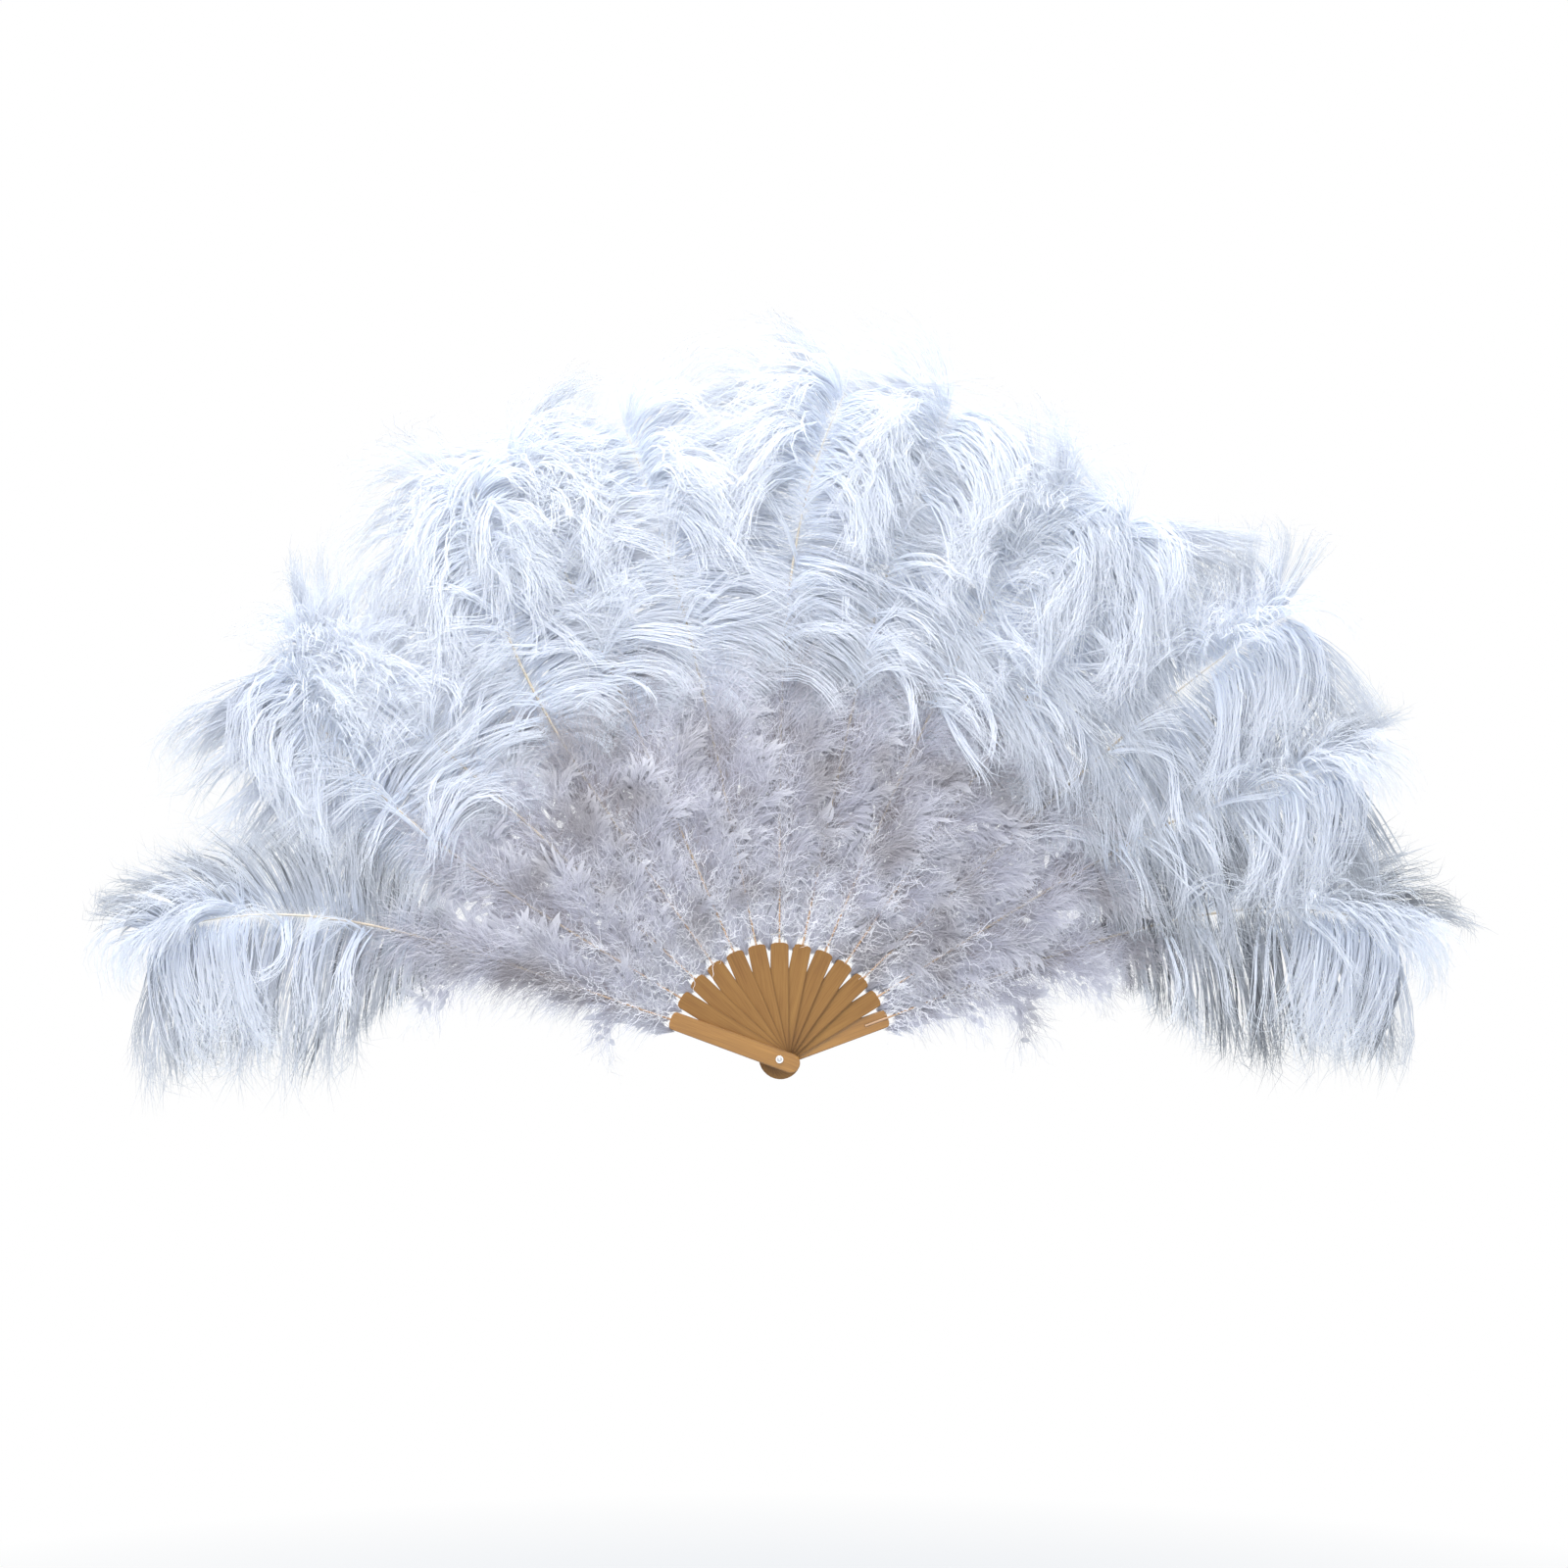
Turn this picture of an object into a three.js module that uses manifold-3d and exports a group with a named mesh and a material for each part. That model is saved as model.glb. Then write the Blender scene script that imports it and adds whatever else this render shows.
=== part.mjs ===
// Folding ostrich plume fan, held open and upright.
// Millimetres, +Z up, +X to the viewer's right, the front of the fan faces -Y.
// The origin is on the rivet's axis, half way through the stack of staves.
// Thirteen staves turn on one rivet. Each carries one ostrich plume and one row of marabou down.

import * as THREE from 'three';
import { mergeVertices } from 'three/addons/utils/BufferGeometryUtils.js';
import Module from 'manifold-3d';

const wasm = await Module();
wasm.setup();

// The fan as a whole
const staveCount = 13;
const spreadDegrees = 140;
const runningGap = 0.3;

// Staves: eleven thin sticks between two thick guards
const staveReach = 109;
const staveTail = 20;
const staveRootWidth = 18.4;
const staveTipWidth = 17;
const stickThickness = 1.6;
const guardThickness = 3.2;
const guardEdgeRound = 0.7;
const tipFlatShare = 0.48;
const tipShoulder = 2.8;
const shoulderSwellShare = 0.67;
const quillSeatLength = 23;
const quillSeatShare = 0.75;
const quillEndWidth = 2.4;

// Rivet and its two washers
const rivetDiameter = 3;
const rivetPlay = 0.3;
const rivetHeadDiameter = 4.6;
const rivetHeadHeight = 1.4;
const domeRadiusShares = [1, 0.88, 0.55, 0];
const domeHeightShares = [0, 0.5, 0.84, 1];
const washerDiameter = 7.2;
const washerThickness = 0.5;

// Linking thread, knotted round every quill just past the staves
const threadSetback = 9;
const threadDiameter = 0.7;

// Marabou down: a short soft row in front of each quill
const downSetback = 7;
const downReach = 292;
const downBarb = 72;
const downTipBarb = 84;
const downTuftPitch = 46;
const downShape = {
  rootTurn: 64,
  tipTurn: 20,
  rootShare: 0.55,
  toothShare: 0.78,
  middleFillShare: 0.8,
  droopShare: 0.1,
  sagShare: 0.4,
  hollowShare: 0.4,
  leadShare: 0.03,
};

// Ostrich plumes
const plumeReach = 592;
const plumeOverlap = 62;
const plumeBarb = 150;
const plumeTipBarb = 78;
const quillDiameter = 2.4;
const quillTipDiameter = 0.9;
const vaneDepth = 3.6;
const vaneClearance = 0.5;
const plumeLockPitch = 64;
const plumeShape = {
  rootTurn: 60,
  tipTurn: 22,
  rootShare: 0.75,
  toothShare: 0.84,
  middleFillShare: 0.75,
  droopShare: 0.22,
  sagShare: 0.9,
  hollowShare: 0.7,
  leadShare: 0.13,
};

// A plume bends most near its tip: its lean grows with this power of its run
const leanGrowth = 3.5;

// A barb bends once along its length, and keeps this many degrees off its quill. A blade begins
// in a point a little before its first barbs, and thickens and widens over its first stretch.
const barbShares = [0.55, 0.45];
const leastSwingDegrees = 6;
const thickenShare = 0.33;
const widenShare = 0.25;

// The feathers lie in layers that part as they leave the staves and curl forward at their tips
const layerGap = 1.2;
const layerFlare = 260;
const curlStart = 311;
const curlLength = 280;
const curlDepth = 60;
const crossLeadShare = 0.7;
const crossTrailShare = 0.6;

// One value for each plume, from the front guard on the left to the rear guard on the right
const plumeReachShares = [0.935, 0.92, 0.94, 0.955, 0.965, 0.93, 1, 0.99, 0.93, 0.96, 1.005, 0.945, 0.945];
const plumeLeanDegrees = [-8, 7, -2, 7, -1, -2, 5.5, 3, 4, -2, 2, 4, 8];
const downReachShares = [0.95, 0.98, 0.94, 1, 0.96, 0.99, 0.97, 1, 0.95, 0.98, 1, 0.94, 0.96];

// Fineness of the solids
const arcSteps = 6;
const holeSteps = 14;
const latheSteps = 20;
const shoulderSteps = 2;
const edgeSteps = 2;
const quillSides = 6;
const quillSteps = [1, 3, 4, 6];
const plumeStations = 18;
const downStations = 11;
const knotSteps = 7;
const knotSides = 4;

const bamboo = { color: 0xc29a58, roughness: 0.5, metalness: 0 };
const guardBamboo = { color: 0xe3b160, roughness: 0.35, metalness: 0 };
const quillHorn = { color: 0xd9c3a0, roughness: 0.45, metalness: 0 };
const ostrichWhite = { color: 0xe6edf8, roughness: 0.9, metalness: 0 };
const marabouWhite = { color: 0xe0d6dd, roughness: 0.95, metalness: 0 };
const steel = { color: 0xc9cbcf, roughness: 0.25, metalness: 1 };
const threadWhite = { color: 0xeeeae2, roughness: 0.7, metalness: 0 };

const radians = THREE.MathUtils.degToRad;
const mix = THREE.MathUtils.lerp;
const lastStave = staveCount - 1;
const middleStave = lastStave / 2;
const stavePitch = stickThickness + runningGap;
const stackHalf = middleStave * stavePitch - stickThickness / 2;
const threadRadius = staveReach + threadSetback;
const quillStartDiameter = stickThickness;
const fullPitch = quillDiameter + vaneClearance + vaneDepth + layerGap;
const downStart = threadRadius + downSetback;
const downEnd = staveReach + downReach;
const vaneStart = downEnd - plumeOverlap;
const crossStart = vaneStart - plumeOverlap * crossLeadShare;
const crossEnd = downEnd + plumeOverlap * crossTrailShare;
const staveStep = radians(spreadDegrees) / lastStave;
const leastSwing = radians(leastSwingDegrees);

function staveAngle(index) {
  return (index - middleStave) * staveStep;
}

// How far the layers have parted at a distance from the rivet: 0 at the staves, 1 from the flare's end
function parted(radius) {
  const run = THREE.MathUtils.clamp((radius - staveReach) / layerFlare, 0, 1);
  return 1 - (1 - run) * (1 - run);
}

function curlAt(radius) {
  const run = Math.max(0, (radius - staveReach - curlStart) / curlLength);
  return curlDepth * run * run;
}

// Front and back face of one stave's layer
function layerFaces(index, radius) {
  const share = parted(radius);
  const pitch = mix(stavePitch, fullPitch, share);
  const gap = mix(runningGap, layerGap, share);
  const centre = (index - middleStave) * pitch - curlAt(radius);
  return { front: centre - (pitch - gap) / 2, back: centre + (pitch - gap) / 2 };
}

function quillDiameterAt(radius, tipRadius) {
  const grown = mix(quillStartDiameter, quillDiameter, parted(radius));
  const fade = THREE.MathUtils.smoothstep(radius, crossEnd, tipRadius);
  return mix(grown, quillTipDiameter, fade);
}

// The quill lies at the back of its layer behind the down, and at the front of it before the vane
function quillCentreAt(index, radius, tipRadius) {
  const faces = layerFaces(index, radius);
  const half = quillDiameterAt(radius, tipRadius) / 2;
  const crossed = THREE.MathUtils.smoothstep(radius, crossStart, crossEnd);
  return mix(faces.back - half, faces.front + half, crossed);
}

// How far the down and the vane stay from the middle of their own quill
function keptOff(radius, tipRadius) {
  return quillDiameterAt(radius, tipRadius) / 2 + mix(runningGap, vaneClearance, parted(radius));
}

function downRoom(index, radius, tipRadius) {
  const back = quillCentreAt(index, radius, tipRadius) - keptOff(radius, tipRadius);
  return { front: layerFaces(index, radius).front, back };
}

function vaneRoom(index, radius, tipRadius) {
  const front = quillCentreAt(index, radius, tipRadius) + keptOff(radius, tipRadius);
  return { front, back: layerFaces(index, radius).back };
}

function plumeTipRadius(index) {
  return staveReach + plumeReach * plumeReachShares[index] - plumeTipBarb;
}

// A plume leans further to one side the further it gets from its stave
function leanAt(index, radius) {
  const run = Math.max(0, (radius - staveReach) / (plumeTipRadius(index) - staveReach));
  return radians(plumeLeanDegrees[index]) * run ** leanGrowth;
}

function quillPoint(index, radius) {
  const lean = leanAt(index, radius);
  return { x: radius * Math.sin(lean), z: radius * Math.cos(lean) };
}

function quillDirection(index, radius) {
  const step = runningGap;
  const behind = quillPoint(index, radius - step);
  const ahead = quillPoint(index, radius + step);
  return Math.atan2(ahead.x - behind.x, ahead.z - behind.z);
}

// Joins rings of points into one closed skin, with a point before the first and after the last.
// Each ring runs anticlockwise as seen from the last. Its two halves are split along mirrored
// diagonals, so that the two faces of a thin blade stay parallel.
function skinRings(rings, firstPoint, lastPoint) {
  const sides = rings[0].length;
  const points = [firstPoint, ...rings.flat(), lastPoint];
  const last = points.length - 1;
  const at = (ring, side) => 1 + ring * sides + (side % sides);
  const faces = [];
  for (let side = 0; side < sides; side += 1) {
    faces.push(0, at(0, side + 1), at(0, side));
    for (let ring = 0; ring < rings.length - 1; ring += 1) {
      const [near, beside] = [at(ring, side), at(ring, side + 1)];
      const [far, across] = [at(ring + 1, side), at(ring + 1, side + 1)];
      if (side < sides / 2) faces.push(near, beside, across, near, across, far);
      else faces.push(near, beside, far, beside, across, far);
    }
    faces.push(last, at(rings.length - 1, side), at(rings.length - 1, side + 1));
  }
  const geometry = new THREE.BufferGeometry();
  geometry.setAttribute('position', new THREE.Float32BufferAttribute(points.flat(), 3));
  geometry.setIndex(faces);
  return geometry;
}

function toSolid(geometry) {
  const plain = geometry.clone();
  plain.deleteAttribute('normal');
  plain.deleteAttribute('uv');
  const merged = mergeVertices(plain);
  const vertProperties = new Float32Array(merged.attributes.position.array);
  const triVerts = new Uint32Array(merged.index.array);
  return new wasm.Manifold(new wasm.Mesh({ numProp: 3, vertProperties, triVerts }));
}

function toGeometry(solid) {
  const mesh = solid.getMesh();
  const geometry = new THREE.BufferGeometry();
  geometry.setAttribute('position', new THREE.Float32BufferAttribute(mesh.vertProperties, 3));
  geometry.setIndex(Array.from(mesh.triVerts));
  return geometry;
}

function place(name, geometry, finish, angle) {
  const mesh = new THREE.Mesh(geometry, new THREE.MeshStandardMaterial({ ...finish, flatShading: true }));
  mesh.name = name;
  mesh.rotation.y = angle;
  return mesh;
}

// Outline of a stave that points up: a round tail, straight tapering sides and a shouldered tip
function staveOutline(edge) {
  const rootHalf = staveRootWidth / 2 - edge;
  const tipHalf = staveTipWidth / 2 - edge;
  const flatHalf = tipHalf * tipFlatShare;
  const top = staveReach - edge;
  const tailCentre = staveRootWidth / 2 - staveTail;
  const shape = new THREE.Shape();
  shape.moveTo(-rootHalf, tailCentre);
  for (let step = 1; step <= arcSteps * 2; step += 1) {
    const turn = Math.PI + (Math.PI * step) / (arcSteps * 2);
    shape.lineTo(rootHalf * Math.cos(turn), tailCentre + rootHalf * Math.sin(turn));
  }
  shape.lineTo(tipHalf, top - tipShoulder);
  const swell = top - tipShoulder * (1 - shoulderSwellShare);
  shape.quadraticCurveTo(tipHalf, swell, flatHalf, top);
  shape.lineTo(-flatHalf, top);
  shape.quadraticCurveTo(-tipHalf, swell, -tipHalf, top - tipShoulder);
  shape.closePath();
  return shape;
}

function rivetHole(edge) {
  const hole = new THREE.Path();
  const radius = rivetDiameter / 2 + rivetPlay + edge;
  for (let step = 0; step < holeSteps; step += 1) {
    const turn = (2 * Math.PI * step) / holeSteps;
    const point = [radius * Math.cos(turn), radius * Math.sin(turn)];
    if (step === 0) hole.moveTo(...point);
    else hole.lineTo(...point);
  }
  hole.closePath();
  return hole;
}

// The seat is a groove along the stave's face that takes the quill's pared end
function quillSeatCutter(seatFace) {
  const depth = stickThickness * quillSeatShare;
  const length = quillSeatLength + tipShoulder;
  const box = new THREE.BoxGeometry(quillEndWidth + 2 * runningGap, 2 * depth, length);
  box.translate(0, seatFace, staveReach - quillSeatLength - runningGap + length / 2);
  return toSolid(box);
}

function isGuard(index) {
  return index === 0 || index === lastStave;
}

function staveFront(index) {
  return (index - middleStave) * stavePitch - stickThickness / 2;
}

function buildStave(index) {
  const thickness = isGuard(index) ? guardThickness : stickThickness;
  const edge = isGuard(index) ? guardEdgeRound : 0;
  const shape = staveOutline(edge);
  shape.holes.push(rivetHole(edge));
  const plate = new THREE.ExtrudeGeometry(shape, {
    depth: thickness - 2 * edge,
    bevelEnabled: isGuard(index),
    bevelThickness: edge,
    bevelSize: edge,
    bevelSegments: edgeSteps,
    curveSegments: shoulderSteps,
  });
  plate.translate(0, 0, edge);
  plate.rotateX(Math.PI / 2);
  const backFace = index === 0 ? -stackHalf : staveFront(index) + thickness;
  plate.translate(0, backFace, 0);
  const seatFace = index === lastStave ? backFace - thickness : backFace;
  const solid = toSolid(plate).subtract(quillSeatCutter(seatFace));
  return toGeometry(solid);
}

// A quill: a pared flat end in its stave's seat, then a round shaft that thins to the plume's tip
function quillRing(centre, direction, middle, width, depth) {
  const ring = [];
  for (let side = 0; side < quillSides; side += 1) {
    const turn = (2 * Math.PI * side) / quillSides;
    const across = (width / 2) * Math.cos(turn);
    const through = (depth / 2) * Math.sin(turn);
    ring.push([
      centre.x + across * Math.cos(direction),
      middle + through,
      centre.z - across * Math.sin(direction),
    ]);
  }
  return ring;
}

function buildQuill(index) {
  const tipRadius = plumeTipRadius(index);
  const endDepth = stickThickness * quillSeatShare - runningGap;
  const layer = layerFaces(index, staveReach);
  const pared = index === lastStave ? layer.front + endDepth / 2 : layer.back - endDepth / 2;
  const seatEnds = [staveReach - quillSeatLength, staveReach + runningGap];
  const rings = seatEnds.map((radius) => quillRing({ x: 0, z: radius }, 0, pared, quillEndWidth, endDepth));
  for (const radius of quillStationRadii(tipRadius)) {
    const diameter = quillDiameterAt(radius, tipRadius);
    const middle = quillCentreAt(index, radius, tipRadius);
    const direction = quillDirection(index, radius);
    rings.push(quillRing(quillPoint(index, radius), direction, middle, diameter, diameter));
  }
  const start = [0, pared, seatEnds[0]];
  const end = quillPoint(index, tipRadius);
  return skinRings(rings, start, [end.x, quillCentreAt(index, tipRadius, tipRadius), end.z]);
}

// The places along a quill where its line or its thickness changes
function quillStationRadii(tipRadius) {
  const stretches = [
    [staveReach + threadSetback / 2, downStart],
    [downStart, crossStart],
    [crossStart, crossEnd],
    [crossEnd, tipRadius - runningGap],
  ];
  const radii = [stretches[0][0]];
  stretches.forEach(([from, to], place) => {
    for (let step = 1; step <= quillSteps[place]; step += 1) {
      radii.push(mix(from, to, step / quillSteps[place]));
    }
  });
  return radii;
}

// Barbs sag towards the ground as they run out, by how far they already point sideways, but
// never across their own quill
function barbPoints(base, worldTurn, direction, swing, length, sag) {
  const points = [];
  const side = Math.sign(swing);
  let turn = direction + swing;
  let { x, z } = base;
  for (const share of barbShares) {
    turn += sag * share * Math.sin(worldTurn + turn);
    if (side * (turn - direction) < side * side * leastSwing) turn = direction + side * leastSwing;
    x += length * share * Math.sin(turn);
    z += length * share * Math.cos(turn);
    points.push({ x, z });
  }
  return points;
}

// Locks of barbs stand up along the front of a blade, with hollows between them
function lockHeight(plan, radius) {
  const wave = Math.cos((2 * Math.PI * (radius - plan.start)) / plan.lockPitch);
  return 1 - (plan.hollowShare * (1 - wave)) / 2;
}

// One blade of barbs along a stretch of quill, toothed at its edge and thin there
function buildBlade(index, plan) {
  const worldTurn = staveAngle(index);
  const downhill = Math.sin(worldTurn);
  const rings = [];
  const faceAt = (point, fill, side) => {
    const room = plan.room(index, Math.hypot(point.x, point.z), plan.tipRadius);
    const middle = (room.front + room.back) / 2;
    return [point.x, middle + (side * fill * (room.back - room.front)) / 2, point.z];
  };
  for (let station = 0; station <= plan.stations; station += 1) {
    const run = station / plan.stations;
    const radius = mix(plan.start, plan.end, run);
    const base = quillPoint(index, radius);
    const direction = quillDirection(index, radius);
    const tooth = station % 2 === 0 ? 1 : plan.toothShare;
    const swing = radians(mix(plan.rootTurn, plan.tipTurn, run * run));
    const widened = mix(plan.rootShare, 1, Math.min(1, run / widenShare));
    const length = mix(plan.barb, plan.tipBarb, run * run) * widened;
    const sides = [1, -1].map((side) => {
      const reach = length * tooth * (1 + plan.droopShare * Math.max(0, side * downhill));
      return barbPoints(base, worldTurn, direction, side * swing, reach, plan.sagShare);
    });
    const [right, left] = sides;
    const thick = Math.min(1, (run + 1 / plan.stations) / thickenShare);
    const middleThick = thick * plan.middleFillShare;
    const raised = lockHeight(plan, radius);
    rings.push([
      faceAt(right[1], 0, 1),
      faceAt(right[0], middleThick, 1),
      faceAt(base, thick, 1),
      faceAt(left[0], middleThick, 1),
      faceAt(left[1], 0, 1),
      faceAt(left[0], middleThick * raised, -1),
      faceAt(base, thick * raised, -1),
      faceAt(right[0], middleThick * raised, -1),
    ]);
  }
  const first = quillPoint(index, plan.start - plan.barb * plan.leadShare);
  const direction = quillDirection(index, plan.end);
  const end = quillPoint(index, plan.end);
  const final = barbPoints(end, worldTurn, direction, 0, plan.tipBarb, plan.sagShare)[1];
  return skinRings(rings, faceAt(first, 0, 1), faceAt(final, 0, 1));
}

function buildVane(index) {
  const tipRadius = plumeTipRadius(index);
  return buildBlade(index, {
    start: vaneStart,
    end: tipRadius,
    tipRadius,
    stations: plumeStations,
    barb: plumeBarb,
    tipBarb: plumeTipBarb,
    lockPitch: plumeLockPitch,
    room: vaneRoom,
    ...plumeShape,
  });
}

function buildDown(index) {
  return buildBlade(index, {
    start: downStart,
    end: staveReach + downReach * downReachShares[index] - downTipBarb,
    tipRadius: plumeTipRadius(index),
    stations: downStations,
    barb: downBarb,
    tipBarb: downTipBarb,
    lockPitch: downTuftPitch,
    room: downRoom,
    ...downShape,
  });
}

// Rivet and washers turn about the Y axis, which is the fan's hinge
function turnedSection(corners) {
  const points = corners.map(([radius, along]) => new THREE.Vector2(radius, along));
  return new THREE.LatheGeometry(points, latheSteps);
}

function buildRivet() {
  const shank = rivetDiameter / 2;
  const head = rivetHeadDiameter / 2;
  const seat = stackHalf + guardThickness + 2 * runningGap + washerThickness;
  const dome = domeRadiusShares.map((share, step) => {
    return [head * share, seat + rivetHeadHeight * domeHeightShares[step]];
  });
  const lowerDome = dome.map(([radius, along]) => [radius, -along]).reverse();
  return turnedSection([...lowerDome, [shank, -seat], [shank, seat], ...dome]);
}

function buildWasher(side) {
  const inner = rivetDiameter / 2 + rivetPlay;
  const outer = washerDiameter / 2;
  const near = stackHalf + guardThickness + runningGap;
  const far = near + washerThickness;
  const [low, high] = side > 0 ? [near, far] : [-far, -near];
  return turnedSection([
    [inner, low],
    [outer, low],
    [outer, high],
    [inner, high],
    [inner, low],
  ]);
}

// The thread is knotted round each quill and runs on to the next, taut while the fan is open
function threadCentre(index) {
  const middle = quillCentreAt(index, threadRadius, plumeTipRadius(index));
  const point = quillPoint(index, threadRadius);
  const angle = staveAngle(index);
  const x = point.x * Math.cos(angle) + point.z * Math.sin(angle);
  const z = point.z * Math.cos(angle) - point.x * Math.sin(angle);
  return new THREE.Vector3(x, middle, z);
}

function knotRadius(index) {
  const quillHalf = quillDiameterAt(threadRadius, plumeTipRadius(index)) / 2;
  return quillHalf + runningGap + threadDiameter / 2;
}

function buildKnot(index) {
  const knot = new THREE.TorusGeometry(knotRadius(index), threadDiameter / 2, knotSides, knotSteps);
  const centre = threadCentre(index);
  knot.rotateY(staveAngle(index));
  knot.translate(centre.x, centre.y, centre.z);
  return toSolid(knot);
}

function buildStrand(index) {
  const from = threadCentre(index);
  const to = threadCentre(index + 1);
  const along = to.clone().sub(from);
  const length = along.length() - knotRadius(index) - knotRadius(index + 1);
  const strand = new THREE.CylinderGeometry(threadDiameter / 2, threadDiameter / 2, length, knotSides);
  const upright = new THREE.Vector3(0, 1, 0);
  strand.applyQuaternion(new THREE.Quaternion().setFromUnitVectors(upright, along.clone().normalize()));
  const centre = from.clone().add(to).multiplyScalar(0.5);
  strand.translate(centre.x, centre.y, centre.z);
  return toSolid(strand);
}

function buildThread() {
  let thread = buildKnot(0);
  for (let index = 1; index < staveCount; index += 1) {
    thread = thread.add(buildStrand(index - 1)).add(buildKnot(index));
  }
  return toGeometry(thread);
}

function staveName(index) {
  if (index === 0) return 'front_guard';
  if (index === lastStave) return 'rear_guard';
  return `stick_${String(index + 1).padStart(2, '0')}`;
}

const fan = new THREE.Group();
for (let index = 0; index < staveCount; index += 1) {
  const angle = staveAngle(index);
  const number = String(index + 1).padStart(2, '0');
  const finish = isGuard(index) ? guardBamboo : bamboo;
  fan.add(place(staveName(index), buildStave(index), finish, angle));
  fan.add(place(`plume_quill_${number}`, buildQuill(index), quillHorn, angle));
  fan.add(place(`plume_vane_${number}`, buildVane(index), ostrichWhite, angle));
  fan.add(place(`marabou_down_${number}`, buildDown(index), marabouWhite, angle));
}
fan.add(place('rivet', buildRivet(), steel, 0));
fan.add(place('front_washer', buildWasher(-1), steel, 0));
fan.add(place('rear_washer', buildWasher(1), steel, 0));
fan.add(place('linking_thread', buildThread(), threadWhite, 0));

export default fan;
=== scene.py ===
import bpy
import math
import numpy as np
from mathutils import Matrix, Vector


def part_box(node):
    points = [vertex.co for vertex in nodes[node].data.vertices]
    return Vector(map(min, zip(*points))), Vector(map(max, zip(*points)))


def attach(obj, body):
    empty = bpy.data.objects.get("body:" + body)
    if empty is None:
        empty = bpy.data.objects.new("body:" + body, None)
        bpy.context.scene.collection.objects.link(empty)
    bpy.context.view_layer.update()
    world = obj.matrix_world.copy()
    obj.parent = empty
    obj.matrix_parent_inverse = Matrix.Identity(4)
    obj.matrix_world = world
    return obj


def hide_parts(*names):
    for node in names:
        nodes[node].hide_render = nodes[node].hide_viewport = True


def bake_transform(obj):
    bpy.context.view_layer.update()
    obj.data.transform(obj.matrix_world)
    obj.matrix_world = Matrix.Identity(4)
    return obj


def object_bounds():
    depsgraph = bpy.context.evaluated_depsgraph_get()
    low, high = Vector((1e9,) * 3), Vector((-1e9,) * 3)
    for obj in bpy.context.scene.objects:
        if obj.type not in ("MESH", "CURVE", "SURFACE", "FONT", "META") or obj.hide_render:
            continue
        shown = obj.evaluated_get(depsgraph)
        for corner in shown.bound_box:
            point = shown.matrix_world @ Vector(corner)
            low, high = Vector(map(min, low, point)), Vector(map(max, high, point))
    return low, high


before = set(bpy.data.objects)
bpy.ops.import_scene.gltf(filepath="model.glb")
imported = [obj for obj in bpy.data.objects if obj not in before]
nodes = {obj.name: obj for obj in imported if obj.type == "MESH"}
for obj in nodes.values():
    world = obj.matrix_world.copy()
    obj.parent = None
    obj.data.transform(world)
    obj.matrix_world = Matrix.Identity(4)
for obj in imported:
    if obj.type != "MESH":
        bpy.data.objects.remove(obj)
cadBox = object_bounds()
bpy.ops.object.select_all(action="DESELECT")

# The fan as the solids have it, in metres: the origin is on the rivet's axis, the front faces -Y
fan = {
    "staves": 13,
    "spread": math.radians(140),
    "staveReach": 0.109,
    "staveThickness": 0.0016,
    "stavePitch": 0.0019,
    "staveGap": 0.0003,
    "quillStart": 0.0863,
    "quillThick": 0.0024,
    "quillTip": 0.0009,
    "threadRadius": 0.118,
}

# The feathers lie in layers that part as they leave the staves and curl forward at their tips
layers = {
    "fullPitch": 0.0077,
    "fullGap": 0.0012,
    "flare": 0.260,
    "curlStart": 0.420,
    "curlLength": 0.280,
    "curlDepth": 0.060,
    "crossStart": 0.2956,
    "crossEnd": 0.4382,
}

lastStave = fan["staves"] - 1
middleStave = lastStave / 2
staveStep = fan["spread"] / lastStave
tiny = 1e-9


def staveAngle(index):
    return (index - middleStave) * staveStep


def numbered(name, index):
    return f"{name}_{index + 1:02d}"


def bodyName(index):
    if index == 0:
        return "front_guard"
    if index == lastStave:
        return "rear_guard"
    return numbered("stick", index)


def mix(first, second, share):
    return first + (second - first) * share


def easeBetween(value, low, high):
    share = np.clip((value - low) / (high - low), 0, 1)
    return share * share * (3 - 2 * share)


def parted(radius):
    run = np.clip((radius - fan["staveReach"]) / layers["flare"], 0, 1)
    return 1 - (1 - run) ** 2


# Depth in a stave's layer, from its front face at share 0 to its back face at share 1
def layerDepth(index, radius, share):
    spreadShare = parted(radius)
    pitch = mix(fan["stavePitch"], layers["fullPitch"], spreadShare)
    gap = mix(fan["staveGap"], layers["fullGap"], spreadShare)
    curl = layers["curlDepth"] * np.clip((radius - layers["curlStart"]) / layers["curlLength"], 0, None) ** 2
    return (index - middleStave) * pitch - curl + (pitch - gap) * (share - 0.5)


class Wire:
    def __init__(self, maker, socket):
        self.maker = maker
        self.socket = socket

    def maths(self, operation, first, second):
        return self.maker.node("ShaderNodeMath", {"operation": operation}, [first, second])

    def __add__(self, other):
        return self.maths("ADD", self, other)

    def __radd__(self, other):
        return self.maths("ADD", other, self)

    def __sub__(self, other):
        return self.maths("SUBTRACT", self, other)

    def __rsub__(self, other):
        return self.maths("SUBTRACT", other, self)

    def __mul__(self, other):
        return self.maths("MULTIPLY", self, other)

    def __rmul__(self, other):
        return self.maths("MULTIPLY", other, self)


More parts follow.
